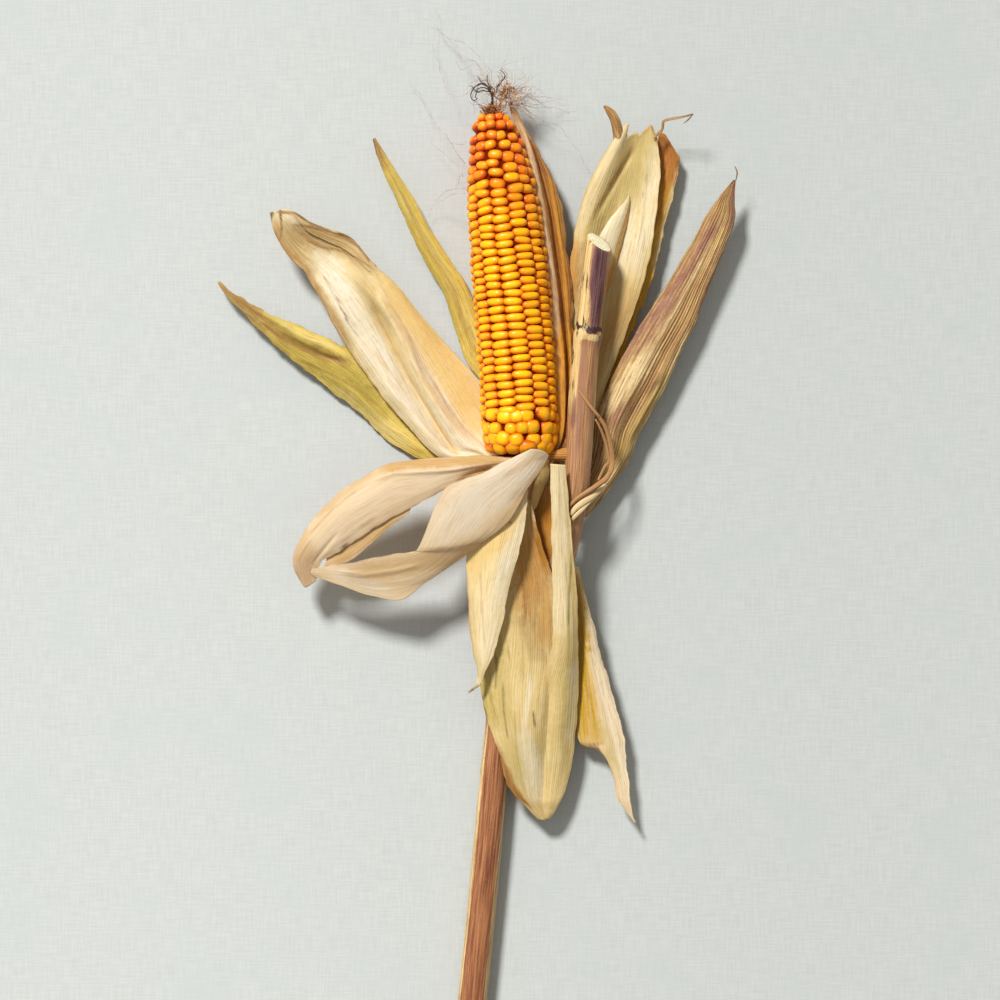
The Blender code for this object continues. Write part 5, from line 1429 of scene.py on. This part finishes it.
def addStalk():
    bm = bmesh.new()
    marks = bm.verts.layers.float_color.new("marks")
    tube(bm, stem["line"], 48, 1.9, stem["ridge"], 3.0)
    at, facing = Vector(stem["cutAt"]), Vector(stem["cutFacing"]).normalized()
    everything = list(bm.verts) + list(bm.edges) + list(bm.faces)
    cut = bmesh.ops.bisect_plane(bm, geom=everything, plane_co=at, plane_no=facing, clear_outer=True)
    rim = [part for part in cut["geom_cut"] if isinstance(part, bmesh.types.BMEdge)]
    cap = bmesh.ops.contextual_create(bm, geom=rim)["faces"]
    cap += [face for face in bm.faces
            if len(face.verts) > 4 and face.calc_center_median().y < stem["lowerEnd"]]
    bmesh.ops.inset_region(bm, faces=cap, thickness=0.7, depth=-0.1)
    for face in cap:
        face.material_index = 1
    tube(bm, stem["shank"], 40, 1.9, 0.25, 7.0)

    rows = [Vector(row) for row in stem["line"]]
    middles = [along(rows, i / stemSamples) for i in range(stemSamples + 1)]
    joint = stem["jointHeight"]
    for vertex in bm.verts:
        near = min(middles, key=lambda row: abs(row.y - vertex.co.y))
        away = (vertex.co.x - near.x) / near.w  # -1 at its left side, 1 at its right
        y, value = vertex.co.y, rough(vertex.co, 6.0, 5.0)
        top = smoothStep(joint + 0.5, joint + 3.0, y + 1.5 * value)
        edge = -0.12 - 0.45 * smoothStep(72, 102, y) + 0.12 * rough(vertex.co, 9.0, 2.0)
        cream = top * (1 - smoothStep(edge - 0.12, edge + 0.22, away)) * smoothStep(-1.0, -0.75, away + 0.1)
        cream = max(cream, (1 - top) * smoothStep(5, 45, y) * (1 - smoothStep(-0.6, -0.3, away)) * 0.9)
        cream = max(cream, (1 - smoothStep(-20, 0, abs(y - 30) - 45)) * smoothStep(0.82, 0.95, away) * 0.6)
        cream = max(cream, 0.5 * smoothStep(0.62, 0.8, away) * (1 - smoothStep(-70, -40, y)))
        cream = max(cream, 0.6 * smoothStep(0.7, 0.85, -away) * (1 - smoothStep(-150, -120, y)))
        purple = top * smoothStep(edge - 0.05, edge + 0.4, away) * (1 - 0.75 * smoothStep(0.6, 0.92, away))
        purple *= 1 - 0.35 * smoothStep(85, 112, y)
        stripe = (1 - smoothStep(0.2, 0.4, abs(away + 0.12))) * 0.42
        purple = max(purple, (1 - top) * stripe * smoothStep(-25, 10, y))
        rust = 0.75 * (1 - smoothStep(-150, -90, y))
        dark = 0.9 * (1 - smoothStep(0.8, 2.6, abs(y - joint - 2.2 - 1.5 * value)))
        dark *= smoothStep(-0.5, 0.1, away)
        dark = max(dark, 0.6 * (1 - smoothStep(0.5, 2.0, abs(y + 132 + value))))
        ragged = (1 - smoothStep(0.8, 2.4, abs(y - joint + 1.6 - 1.6 * value))) * smoothStep(-0.9, -0.6, away)
        cream = max(cream, 0.8 * ragged)
        scars = 1 - smoothStep(0.5, 1.6, abs(y - joint - 4.5 + 5 * (away + 0.8)))
        scars *= 1 - smoothStep(-0.7, -0.5, away)
        dark = max(dark, 0.9 * scars)
        mauve = smoothStep(0.1, 0.5, rough(Vector((vertex.co.x, vertex.co.y * 0.14, vertex.co.z)), 4.0, 4.0))
        purple = max(purple, (1 - top) * 0.5 * mauve * smoothStep(-40, 0, y))
        thin = Vector((vertex.co.x, vertex.co.y * 0.16, vertex.co.z))
        dark = max(dark, 0.55 * cream * smoothStep(0.02, 0.22, rough(thin, 2.2, 9.0)))
        vertex[marks] = (rust, cream, purple, dark)
    toFrame(bm)
    bmesh.ops.recalc_face_normals(bm, faces=bm.faces)
    addPiece(bm, "stalkAndShank", [stalkMaterial(), pithMaterial()], "stalk", "stalk")


addStalk()
print("stalk ready")

# silk: a dark curled tuft, papery bits and fine hairs

silk = {
    "curls": [  # radius, then the line
        (0.42, [(-15, 182, 18), (-14.9, 186, 18.5), (-14.7, 189, 19), (-15.3, 191.6, 19.6),
            (-17, 194.6, 20.2), (-20, 196.3, 20.6), (-23, 195.3, 20.2), (-25, 193, 19.6), (-26, 190.2, 19),
            (-25.3, 188, 18.6), (-23.7, 187.6, 18.8), (-22.5, 188.8, 19.2)]),
        (0.36, [(-14.8, 188, 18.6), (-15, 191, 19), (-17, 193.5, 19.6), (-19.5, 194.4, 20),
            (-22, 193.6, 19.8), (-23, 191.5, 19.4), (-23.5, 189.6, 19.2), (-22.8, 188.6, 19)]),
        (0.3, [(-15, 190, 18.2), (-15.4, 192, 18.6), (-17.5, 192.4, 18.9), (-20, 192.7, 19),
            (-22, 191.8, 18.8), (-23.5, 192.5, 19), (-24.6, 193.8, 19.3), (-25.2, 195, 19.5),
            (-26.6, 194.9, 19.3)]),
        (0.3, [(-18, 195.8, 20.4), (-19.6, 196.6, 20.6), (-21, 198, 20.8), (-22.6, 200.4, 21)]),
        (0.28, [(-15.6, 193, 19.6), (-16, 195, 20), (-17.1, 197.2, 20.4), (-17.3, 199, 20.6),
            (-17.2, 200.8, 20.8)]),
        (0.4, [(-14.8, 192.4, 18.9), (-13.6, 190.8, 18.8), (-12.5, 192.4, 19.2), (-12.2, 194.4, 19.6),
            (-10.8, 196, 20), (-9.5, 197.8, 20.4), (-8.3, 199.5, 20.8), (-8, 200.8, 21), (-8.8, 202, 21),
            (-10, 203.1, 20.8), (-10.8, 203.3, 20.6)]),
        (0.5, [(-14.2, 182.4, 17.6), (-14.4, 185, 18), (-14.8, 188, 18.4), (-14.5, 191, 19)]),
    ],
    "tangle": [  # browner strands
        (0.45, [(-15, 192, 19.2), (-14, 190.4, 18.8), (-12.6, 189.2, 18.4), (-11, 188.2, 18.2),
            (-9.5, 187.8, 18.2), (-8, 188, 18.4), (-6.8, 188.8, 18.8)]),
        (0.32, [(-10.6, 196.2, 20.2), (-9.2, 198.4, 20.6), (-7.6, 198.8, 20.8), (-6.8, 197.2, 20.6),
            (-6.2, 195.4, 20.2)]),
        (0.4, [(-16, 195.4, 20.2), (-14.6, 194.2, 20), (-13.4, 193, 19.6), (-12.6, 191.4, 19)]),
        (0.3, [(-5.2, 182, 17.8), (-4.5, 185, 18.2), (-3.9, 187.8, 18.8), (-2.8, 190.4, 19.4),
            (-1.6, 192.4, 19.6)]),
        (0.28, [(-6.4, 187, 18.4), (-5.4, 185, 18.2), (-5, 182, 17.8), (-4.2, 179, 17.6)]),
        (0.26, [(-5.6, 195, 20.2), (-3.8, 194.4, 20.1), (-2.2, 193, 19.8), (-1.4, 191.4, 19.4)]),
        (0.3, [(-17, 181, 17.6), (-16.6, 183.5, 18), (-15.6, 185.6, 18.4), (-15.4, 187, 18.6)]),
    ],
    "chaff": [  # half width, then the line of a papery bit
        (1.5, [(-9.6, 188.3, 18.6), (-8.2, 190, 19.4), (-7, 192.2, 20), (-7.2, 194.8, 20.2),
            (-8, 197.2, 20.2)]),
        (1.1, [(-10.4, 190.4, 18.8), (-9.4, 192.4, 19.2), (-8.4, 194.2, 19.6)]),
        (0.9, [(-6.2, 195.2, 19.8), (-4.6, 194.6, 20), (-3, 193.4, 19.8), (-1.6, 192.2, 19.4)]),
        (0.8, [(-4.6, 189.4, 18.8), (-3.4, 190.8, 19.2), (-2, 192, 19.4)]),
        (1.4, [(-11.6, 184.4, 17.6), (-10.8, 186.2, 18.2), (-9.8, 188.2, 18.6)]),
        (1.1, [(-13.2, 184, 17.6), (-13, 186, 18.2), (-12.6, 188, 18.6)]),
        (0.9, [(-8.4, 183.8, 17.4), (-7.6, 186, 18), (-7.4, 188, 18.6)]),
        (1.0, [(-18.2, 181.4, 16.6), (-17.2, 182.6, 17.2), (-16, 183.8, 17.6)]),
    ],
    "hairs": [  # long hairs; the height goes from the first number to the second
        (19.5, 4, [(-3, 190), (0, 188.6), (4, 187), (8, 185.8), (12, 186.6), (16, 188), (20, 187.3),
            (24, 186)]),
        (19.5, 6, [(-3, 190.5), (1, 190), (6, 189.8), (12, 189.9), (18, 189.4), (23, 189.1)]),
        (19.5, 5, [(-3, 191.5), (1, 191.3), (5, 189.5), (9, 187.5), (12, 185.4), (15, 184.6), (19, 186),
            (22, 186)]),
        (19, 4, [(-4, 187.5), (0, 186), (4, 184.6), (9, 184), (14, 184.9), (19, 184.2), (25, 182.7),
            (30, 183)]),
        (19, 14, [(-4, 186), (0, 184.5), (5, 182), (10, 178), (15, 176), (20, 174.5), (24, 170), (28, 164.5),
            (31, 161), (34, 154.5), (37, 149.6), (40, 147.5)]),
        (18.5, 5, [(-4, 185), (-1, 183), (3, 181), (7, 178), (10, 175.2), (14, 175.5), (18, 173),
            (22, 171.5)]),
        (18.5, 6, [(-3, 184), (1, 180), (5, 175), (7, 171), (8, 166)]),
        (21, 16, [(-8.4, 201.6), (-10, 204), (-8, 206.5), (-3, 207.8), (1, 209.8), (5, 210.5)]),
        (20.8, 12, [(-10, 203), (-9.3, 206.5), (-7.5, 209), (-6, 213), (-6, 216.5)]),
        (20, 19, [(-3, 196), (-2.9, 199), (-3, 201), (-2.8, 202.5)]),
        (20, 14, [(-2, 194), (0, 195.5), (3, 197), (6, 199.5), (10, 202)]),
        (20.5, 4, [(-16, 197), (-17, 203), (-20, 206.5), (-21.5, 210), (-24, 213.5), (-27, 216), (-31, 219),
            (-36, 220.5), (-40, 223), (-43, 226), (-47, 230.5), (-51, 232)]),
        (20.5, 4, [(-17, 197), (-20.5, 202), (-22, 206), (-25, 209), (-30, 209.6), (-32.5, 213), (-34.5, 217),
            (-37.5, 220), (-37, 223), (-35.5, 226.5)]),
        (18, 3, [(-26, 206), (-28, 205), (-31, 204), (-33, 207), (-33, 211), (-32, 214), (-34, 217.5),
            (-38, 221), (-43, 225.5), (-44, 230), (-43.5, 234), (-44.8, 237)]),
        (19, 4, [(-25, 194.5), (-29.5, 190.2), (-33, 190), (-37, 190.7), (-39.2, 194), (-40.5, 199),
            (-42.5, 204), (-43.2, 209), (-45.5, 214.5), (-46, 220), (-44.5, 225)]),
        (20, 10, [(-16, 195), (-18.5, 200), (-20, 204), (-23, 208), (-26, 210)]),
        (24, 4, [(-29, 154), (-32, 158.5), (-35.5, 163), (-38, 168), (-41, 171.5), (-45, 176.5), (-48, 181),
            (-50.5, 185.5), (-52, 190.5), (-56, 195), (-59, 197.5)]),
        (24, 8, [(-30, 147), (-31, 149), (-32, 151.5), (-35, 155), (-38.5, 158.5), (-42, 162), (-45, 164),
            (-47.5, 166)]),
        (24, 4, [(-29, 141.2), (-34, 140.8), (-39, 140), (-42, 137.5), (-46.5, 132), (-48.5, 127)]),
        (24, 8, [(-29, 138.5), (-35, 138.5), (-40, 136), (-44, 134)]),
        (24, 18, [(-31.5, 148), (-32.5, 143.5), (-34.5, 141)]),
        (22, 12, [(-29.5, 164), (-33, 164.5), (-36, 166), (-39, 168.5)]),
        (18, 12, [(-20, 185.8), (-24.5, 186.5), (-23.5, 183), (-24.5, 180.5)]),
        (18.5, 12, [(-17, 185), (-22, 185.5), (-26, 186.5), (-30, 189)]),
    ],
    "hairRadius": 0.13,
    "wisps": 70,  # short curved hairs scattered around the tuft
    "matted": 46, "fineMatted": 60,  # curled strands, browner and finer
    "tipChaff": 70,  # bits that stand on the cob's bare tip
    "fuzz": 18,  # hairs that run down beside the inner leaf's tip
    "seed": 5,
}


def fibreMaterial(name, dark, light, roughness=0.6):
    g = Graph(name)
    place = g.place()
    grain = g.noise(place, 260.0, 3.0)
    g.surface("Base Color", g.mix(g.span(grain, 0.35, 0.65), dark, light))
    g.surface("Roughness", roughness)
    return g.material


def strand(bm, points, radius, dice, wobble, every, sides=5):
    # a thin wavy tube that narrows to its end
    rows = [Vector(point) for point in points]
    length = sum((b - a).length for a, b in zip(rows, rows[1:]))
    count = max(4, round(length / every))
    shift = Vector((dice.uniform(0, 90), dice.uniform(0, 90), dice.uniform(0, 90)))
    line = []
    for i in range(count + 1):
        spot = along(rows, i / count)
        spot = spot + noise.noise_vector(spot * 0.45 + shift) * wobble * smoothStep(0, 0.1, i / count)
        line.append((*spot, radius * (1 - 0.65 * i / count)))
    tube(bm, line, sides, every)


def matTogether(bm, dice, count, middle, spread, radii):
    # short curled strands that mat together around one place
    for _ in range(count):
        x, y = dice.gauss(middle[0], spread[0]), dice.gauss(middle[1], spread[1])
        here = Vector((x, y, dice.uniform(18, 21)))
        turn = dice.uniform(0, 6.3)
        way = Vector((math.cos(turn), math.sin(turn), dice.uniform(-0.1, 0.2)))
        bend = Vector((-way.y, way.x, 0)) * dice.uniform(-1.6, 1.6)
        reach = dice.uniform(0.8, 1.8)
        points = [here + (way * t + bend * t * (2.4 - t) * 0.5) * reach for t in range(4)]
        strand(bm, points, dice.uniform(*radii), dice, 0.5, 0.7, 5)


def finishFibres(bm, name, material, *nodes):
    toFrame(bm)
    bmesh.ops.recalc_face_normals(bm, faces=bm.faces)
    return addPiece(bm, name, material, "silk", *nodes)


def addSilk():
    dice = random.Random(silk["seed"])
    bm = bmesh.new()
    for radius, points in silk["curls"]:
        strand(bm, points, radius * 1.15, dice, 0.22, 0.7, 6)
        for _ in range(2):
            shift = Vector((dice.gauss(0, 0.7), dice.gauss(0, 0.7), dice.gauss(0, 0.3)))
            strand(bm, [Vector(point) + shift for point in points], radius * 0.4, dice, 0.6, 0.7, 5)
    dark = fibreMaterial("darkSilk", rgb(0.018, 0.009, 0.006), rgb(0.085, 0.04, 0.022))
    finishFibres(bm, "silkCurls", dark, "silk")

    bm = bmesh.new()
    for radius, points in silk["tangle"]:
        strand(bm, points, radius, dice, 0.3, 0.7, 6)
    matTogether(bm, dice, silk["matted"], (-7.4, 193.0), (2.0, 3.0), (0.16, 0.3))
    for _ in range(silk["tipChaff"]):
        # brown chaff that stands on the cob's bare tip
        y, turn = dice.uniform(179, 184.6), dice.uniform(-0.2, 3.3)
        out = Vector((math.cos(turn), 0, math.sin(turn)))
        here = cobAxis(y) + out * max(0.5, cobRadius(y) - 3.4)
        way = Vector((out.x + dice.gauss(0, 0.5), 0.9, out.z * 0.6)) * dice.uniform(0.5, 1.3)
        strand(bm, [here, here + way, here + way * 2 + out * 0.3], dice.uniform(0.25, 0.5), dice, 0.4, 0.5)
    brown = fibreMaterial("brownSilk", rgb(0.14, 0.045, 0.015), rgb(0.5, 0.23, 0.085))
    finishFibres(bm, "silkTangle", brown)

    bm = bmesh.new()
    for half, points in silk["chaff"]:
        rows = [Vector(point) for point in points]
        net = []
        for i, row in enumerate(rows):
            ahead = (rows[min(i + 1, len(rows) - 1)] - rows[max(i - 1, 0)]).normalized()
            side = ahead.cross(Vector((0, 0, 1))).normalized()
            side = side * half * 0.75 * (1 - 0.75 * i / (len(rows) - 1))
            net.append([row - side, row + Vector((0, 0, 0.7 * half)), row + side])
        # built face by face, because this order decides on which side the thickness goes
        rings = []
        for i in range(9):
            ring = []
            for j in range(7):
                jitter = Vector((dice.gauss(0, 0.08), dice.gauss(0, 0.08), dice.gauss(0, 0.1)))
                ring.append(bm.verts.new(along([along(row, j / 6) for row in net], i / 8) + jitter))
            rings.append(ring)
        for one, two in zip(rings, rings[1:]):
            for j in range(6):
                bm.faces.new((one[j], one[j + 1], two[j + 1], two[j]))
    paper = fibreMaterial("papery", rgb(0.4, 0.18, 0.07), rgb(0.76, 0.48, 0.27), 0.8)
    bits = finishFibres(bm, "silkChaff", paper)
    solid = bits.modifiers.new("thickness", "SOLIDIFY")
    solid.thickness = 0.15 * mm

    bm = bmesh.new()
    for high, low, points in silk["hairs"]:
        last = len(points) - 1
        rows = [(x, y, high + (low - high) * smoothStep(0.1, 1.0, i / last))
                for i, (x, y) in enumerate(points)]
        strand(bm, rows, silk["hairRadius"], dice, 0.7, 1.4, 4)
    for _ in range(silk["wisps"]):
        right = dice.random() < 0.72
        turn = dice.gauss(-0.15, 0.5) if right else dice.gauss(2.2, 0.5)
        here = Vector((-3.5, 188, 19)) if right else Vector((-15, 193, 19.6))
        here = here + Vector((dice.gauss(0, 1.5), dice.gauss(0, 2.2), dice.uniform(-0.6, 0.6)))
        reach, bend = dice.uniform(5, 20), dice.gauss(0, 0.9)
        points = []
        for t in (0.0, 0.35, 0.7, 1.0):
            angle = turn + bend * t
            points.append(here + Vector((math.cos(angle), math.sin(angle), -0.45 * t)) * reach * t)
        strand(bm, points, silk["hairRadius"] * 0.9, dice, 0.9, 1.4, 4)
    matTogether(bm, dice, silk["fineMatted"], (-4.6, 191.5), (2.8, 3.2), (0.09, 0.15))
    for _ in range(silk["fuzz"]):
        # fuzz that runs down beside the inner leaf's tip
        here = Vector((-6 + dice.gauss(0, 1.0), 190 + dice.gauss(0, 1.6), 19.4))
        way = Vector((2.6 + dice.gauss(0, 1.8), -9.0 + dice.gauss(0, 2.0), -1.5)) * dice.uniform(0.4, 1.1)
        side = Vector((way.y, -way.x, 0)) * dice.uniform(-0.2, 0.2)
        strand(bm, [here, here + way * 0.5 + side, here + way], 0.1, dice, 0.8, 1.0, 4)
    fine = fibreMaterial("fineSilk", rgb(0.3, 0.17, 0.11), rgb(0.62, 0.46, 0.35))
    finishFibres(bm, "silkHairs", fine)


addSilk()
print("silk ready")

# torn fibres that cling to the stalk

slivers = {
    "twig": [
        (0.75, [(72.5, 166, 16), (73.4, 169.5, 17), (75, 173, 18), (75.4, 176.5, 19), (78, 177.6, 20),
            (83, 178.4, 21), (87.5, 179.3, 22), (91, 180.2, 22.5)]),
        (0.4, [(91, 180.2, 22.5), (88.6, 177.4, 22.3), (86, 175.4, 22)]),
        (0.7, [(70.5, 167.5, 16), (73, 171, 16.8), (74.6, 172.4, 17)]),
    ],
    "tail": [(0.4, [(113.6, 145.5, 16), (114.2, 148.2, 17), (114.2, 150.4, 18), (113, 153, 19)])],
    "curled": [
        (0.8, [(30.6, 35, 34.2), (33, 31.5, 35), (36.2, 27, 35.6), (39, 23.5, 35.3), (41.6, 20.5, 34.2)]),
        (1.35, [(38, 25, 35.2), (41.5, 20.5, 33.8), (44.6, 15.5, 32), (46.8, 9.5, 30), (48, 3, 28.4),
            (48.4, -2, 27.6), (47.4, -7.5, 28), (45, -11.5, 29.2), (41.5, -14.3, 30.6), (37.5, -17, 32),
            (32.5, -20.2, 33.4), (28.6, -23, 33.8), (25.8, -26, 33.4)]),
        (0.9, [(39.5, 19.5, 33.6), (42.4, 14, 31.6), (44.6, 8, 29.6), (46.2, 2, 28), (46.6, -2.5, 27.2),
            (44.4, -5.6, 26.8), (42.4, -9.4, 26.8), (41, -12.6, 27.6)]),
        (0.5, [(46.4, -6.4, 28.4), (47, -8.6, 28.8), (45, -11.6, 29.6), (42.4, -13.2, 30.4)]),
    ],
    "straight": [
        (1.7, [(44.6, -15, 25), (41, -18.4, 28.2), (37, -21.4, 31), (33, -24, 32.6), (29, -27.2, 33.3),
            (26.4, -30.6, 33)]),
        (1.3, [(40, -20.5, 28.6), (36, -24, 31), (32, -28, 32.4), (28.6, -31.5, 32.6), (27, -33.4, 32)]),
    ],
}


neverDark = 1000.0  # millimetres along X, past every sliver


def addSliver(name, lines, material, *nodes, darkFrom=neverDark):
    # ribbed strands pressed flat, dark past one place along X
    bm = bmesh.new()
    marks = bm.verts.layers.float_color.new("marks")
    for radius, points in lines:
        last = len(points) - 1
        line = [(*point, radius * (0.35 + 0.65 * math.sin(math.pi * (0.12 + 0.76 * i / last))))
                for i, point in enumerate(points)]
        for ring in tube(bm, line, 10, 0.8, 0.12, 11.0):
            middle = sum((vertex.co for vertex in ring), Vector()) / len(ring)
            for vertex in ring:
                vertex.co.z = middle.z + 0.45 * (vertex.co.z - middle.z)
    for vertex in bm.verts:
        vertex[marks] = (0.3, 0, 0, 0.8 * smoothStep(darkFrom, darkFrom + 6, vertex.co.x))
    toFrame(bm)
    bmesh.ops.recalc_face_normals(bm, faces=bm.faces)
    addPiece(bm, name, material, "husk_streaked", *nodes)


addSliver("sliverCurled", slivers["curled"], husks["torn"], "sliver_curled")
addSliver("sliverStraight", slivers["straight"], husks["cream"], "sliver_straight")
addSliver("leafTwig", slivers["twig"], husks["streaked"], darkFrom=84.0)
addSliver("leafTail", slivers["tail"], husks["streaked"])
print("slivers ready")
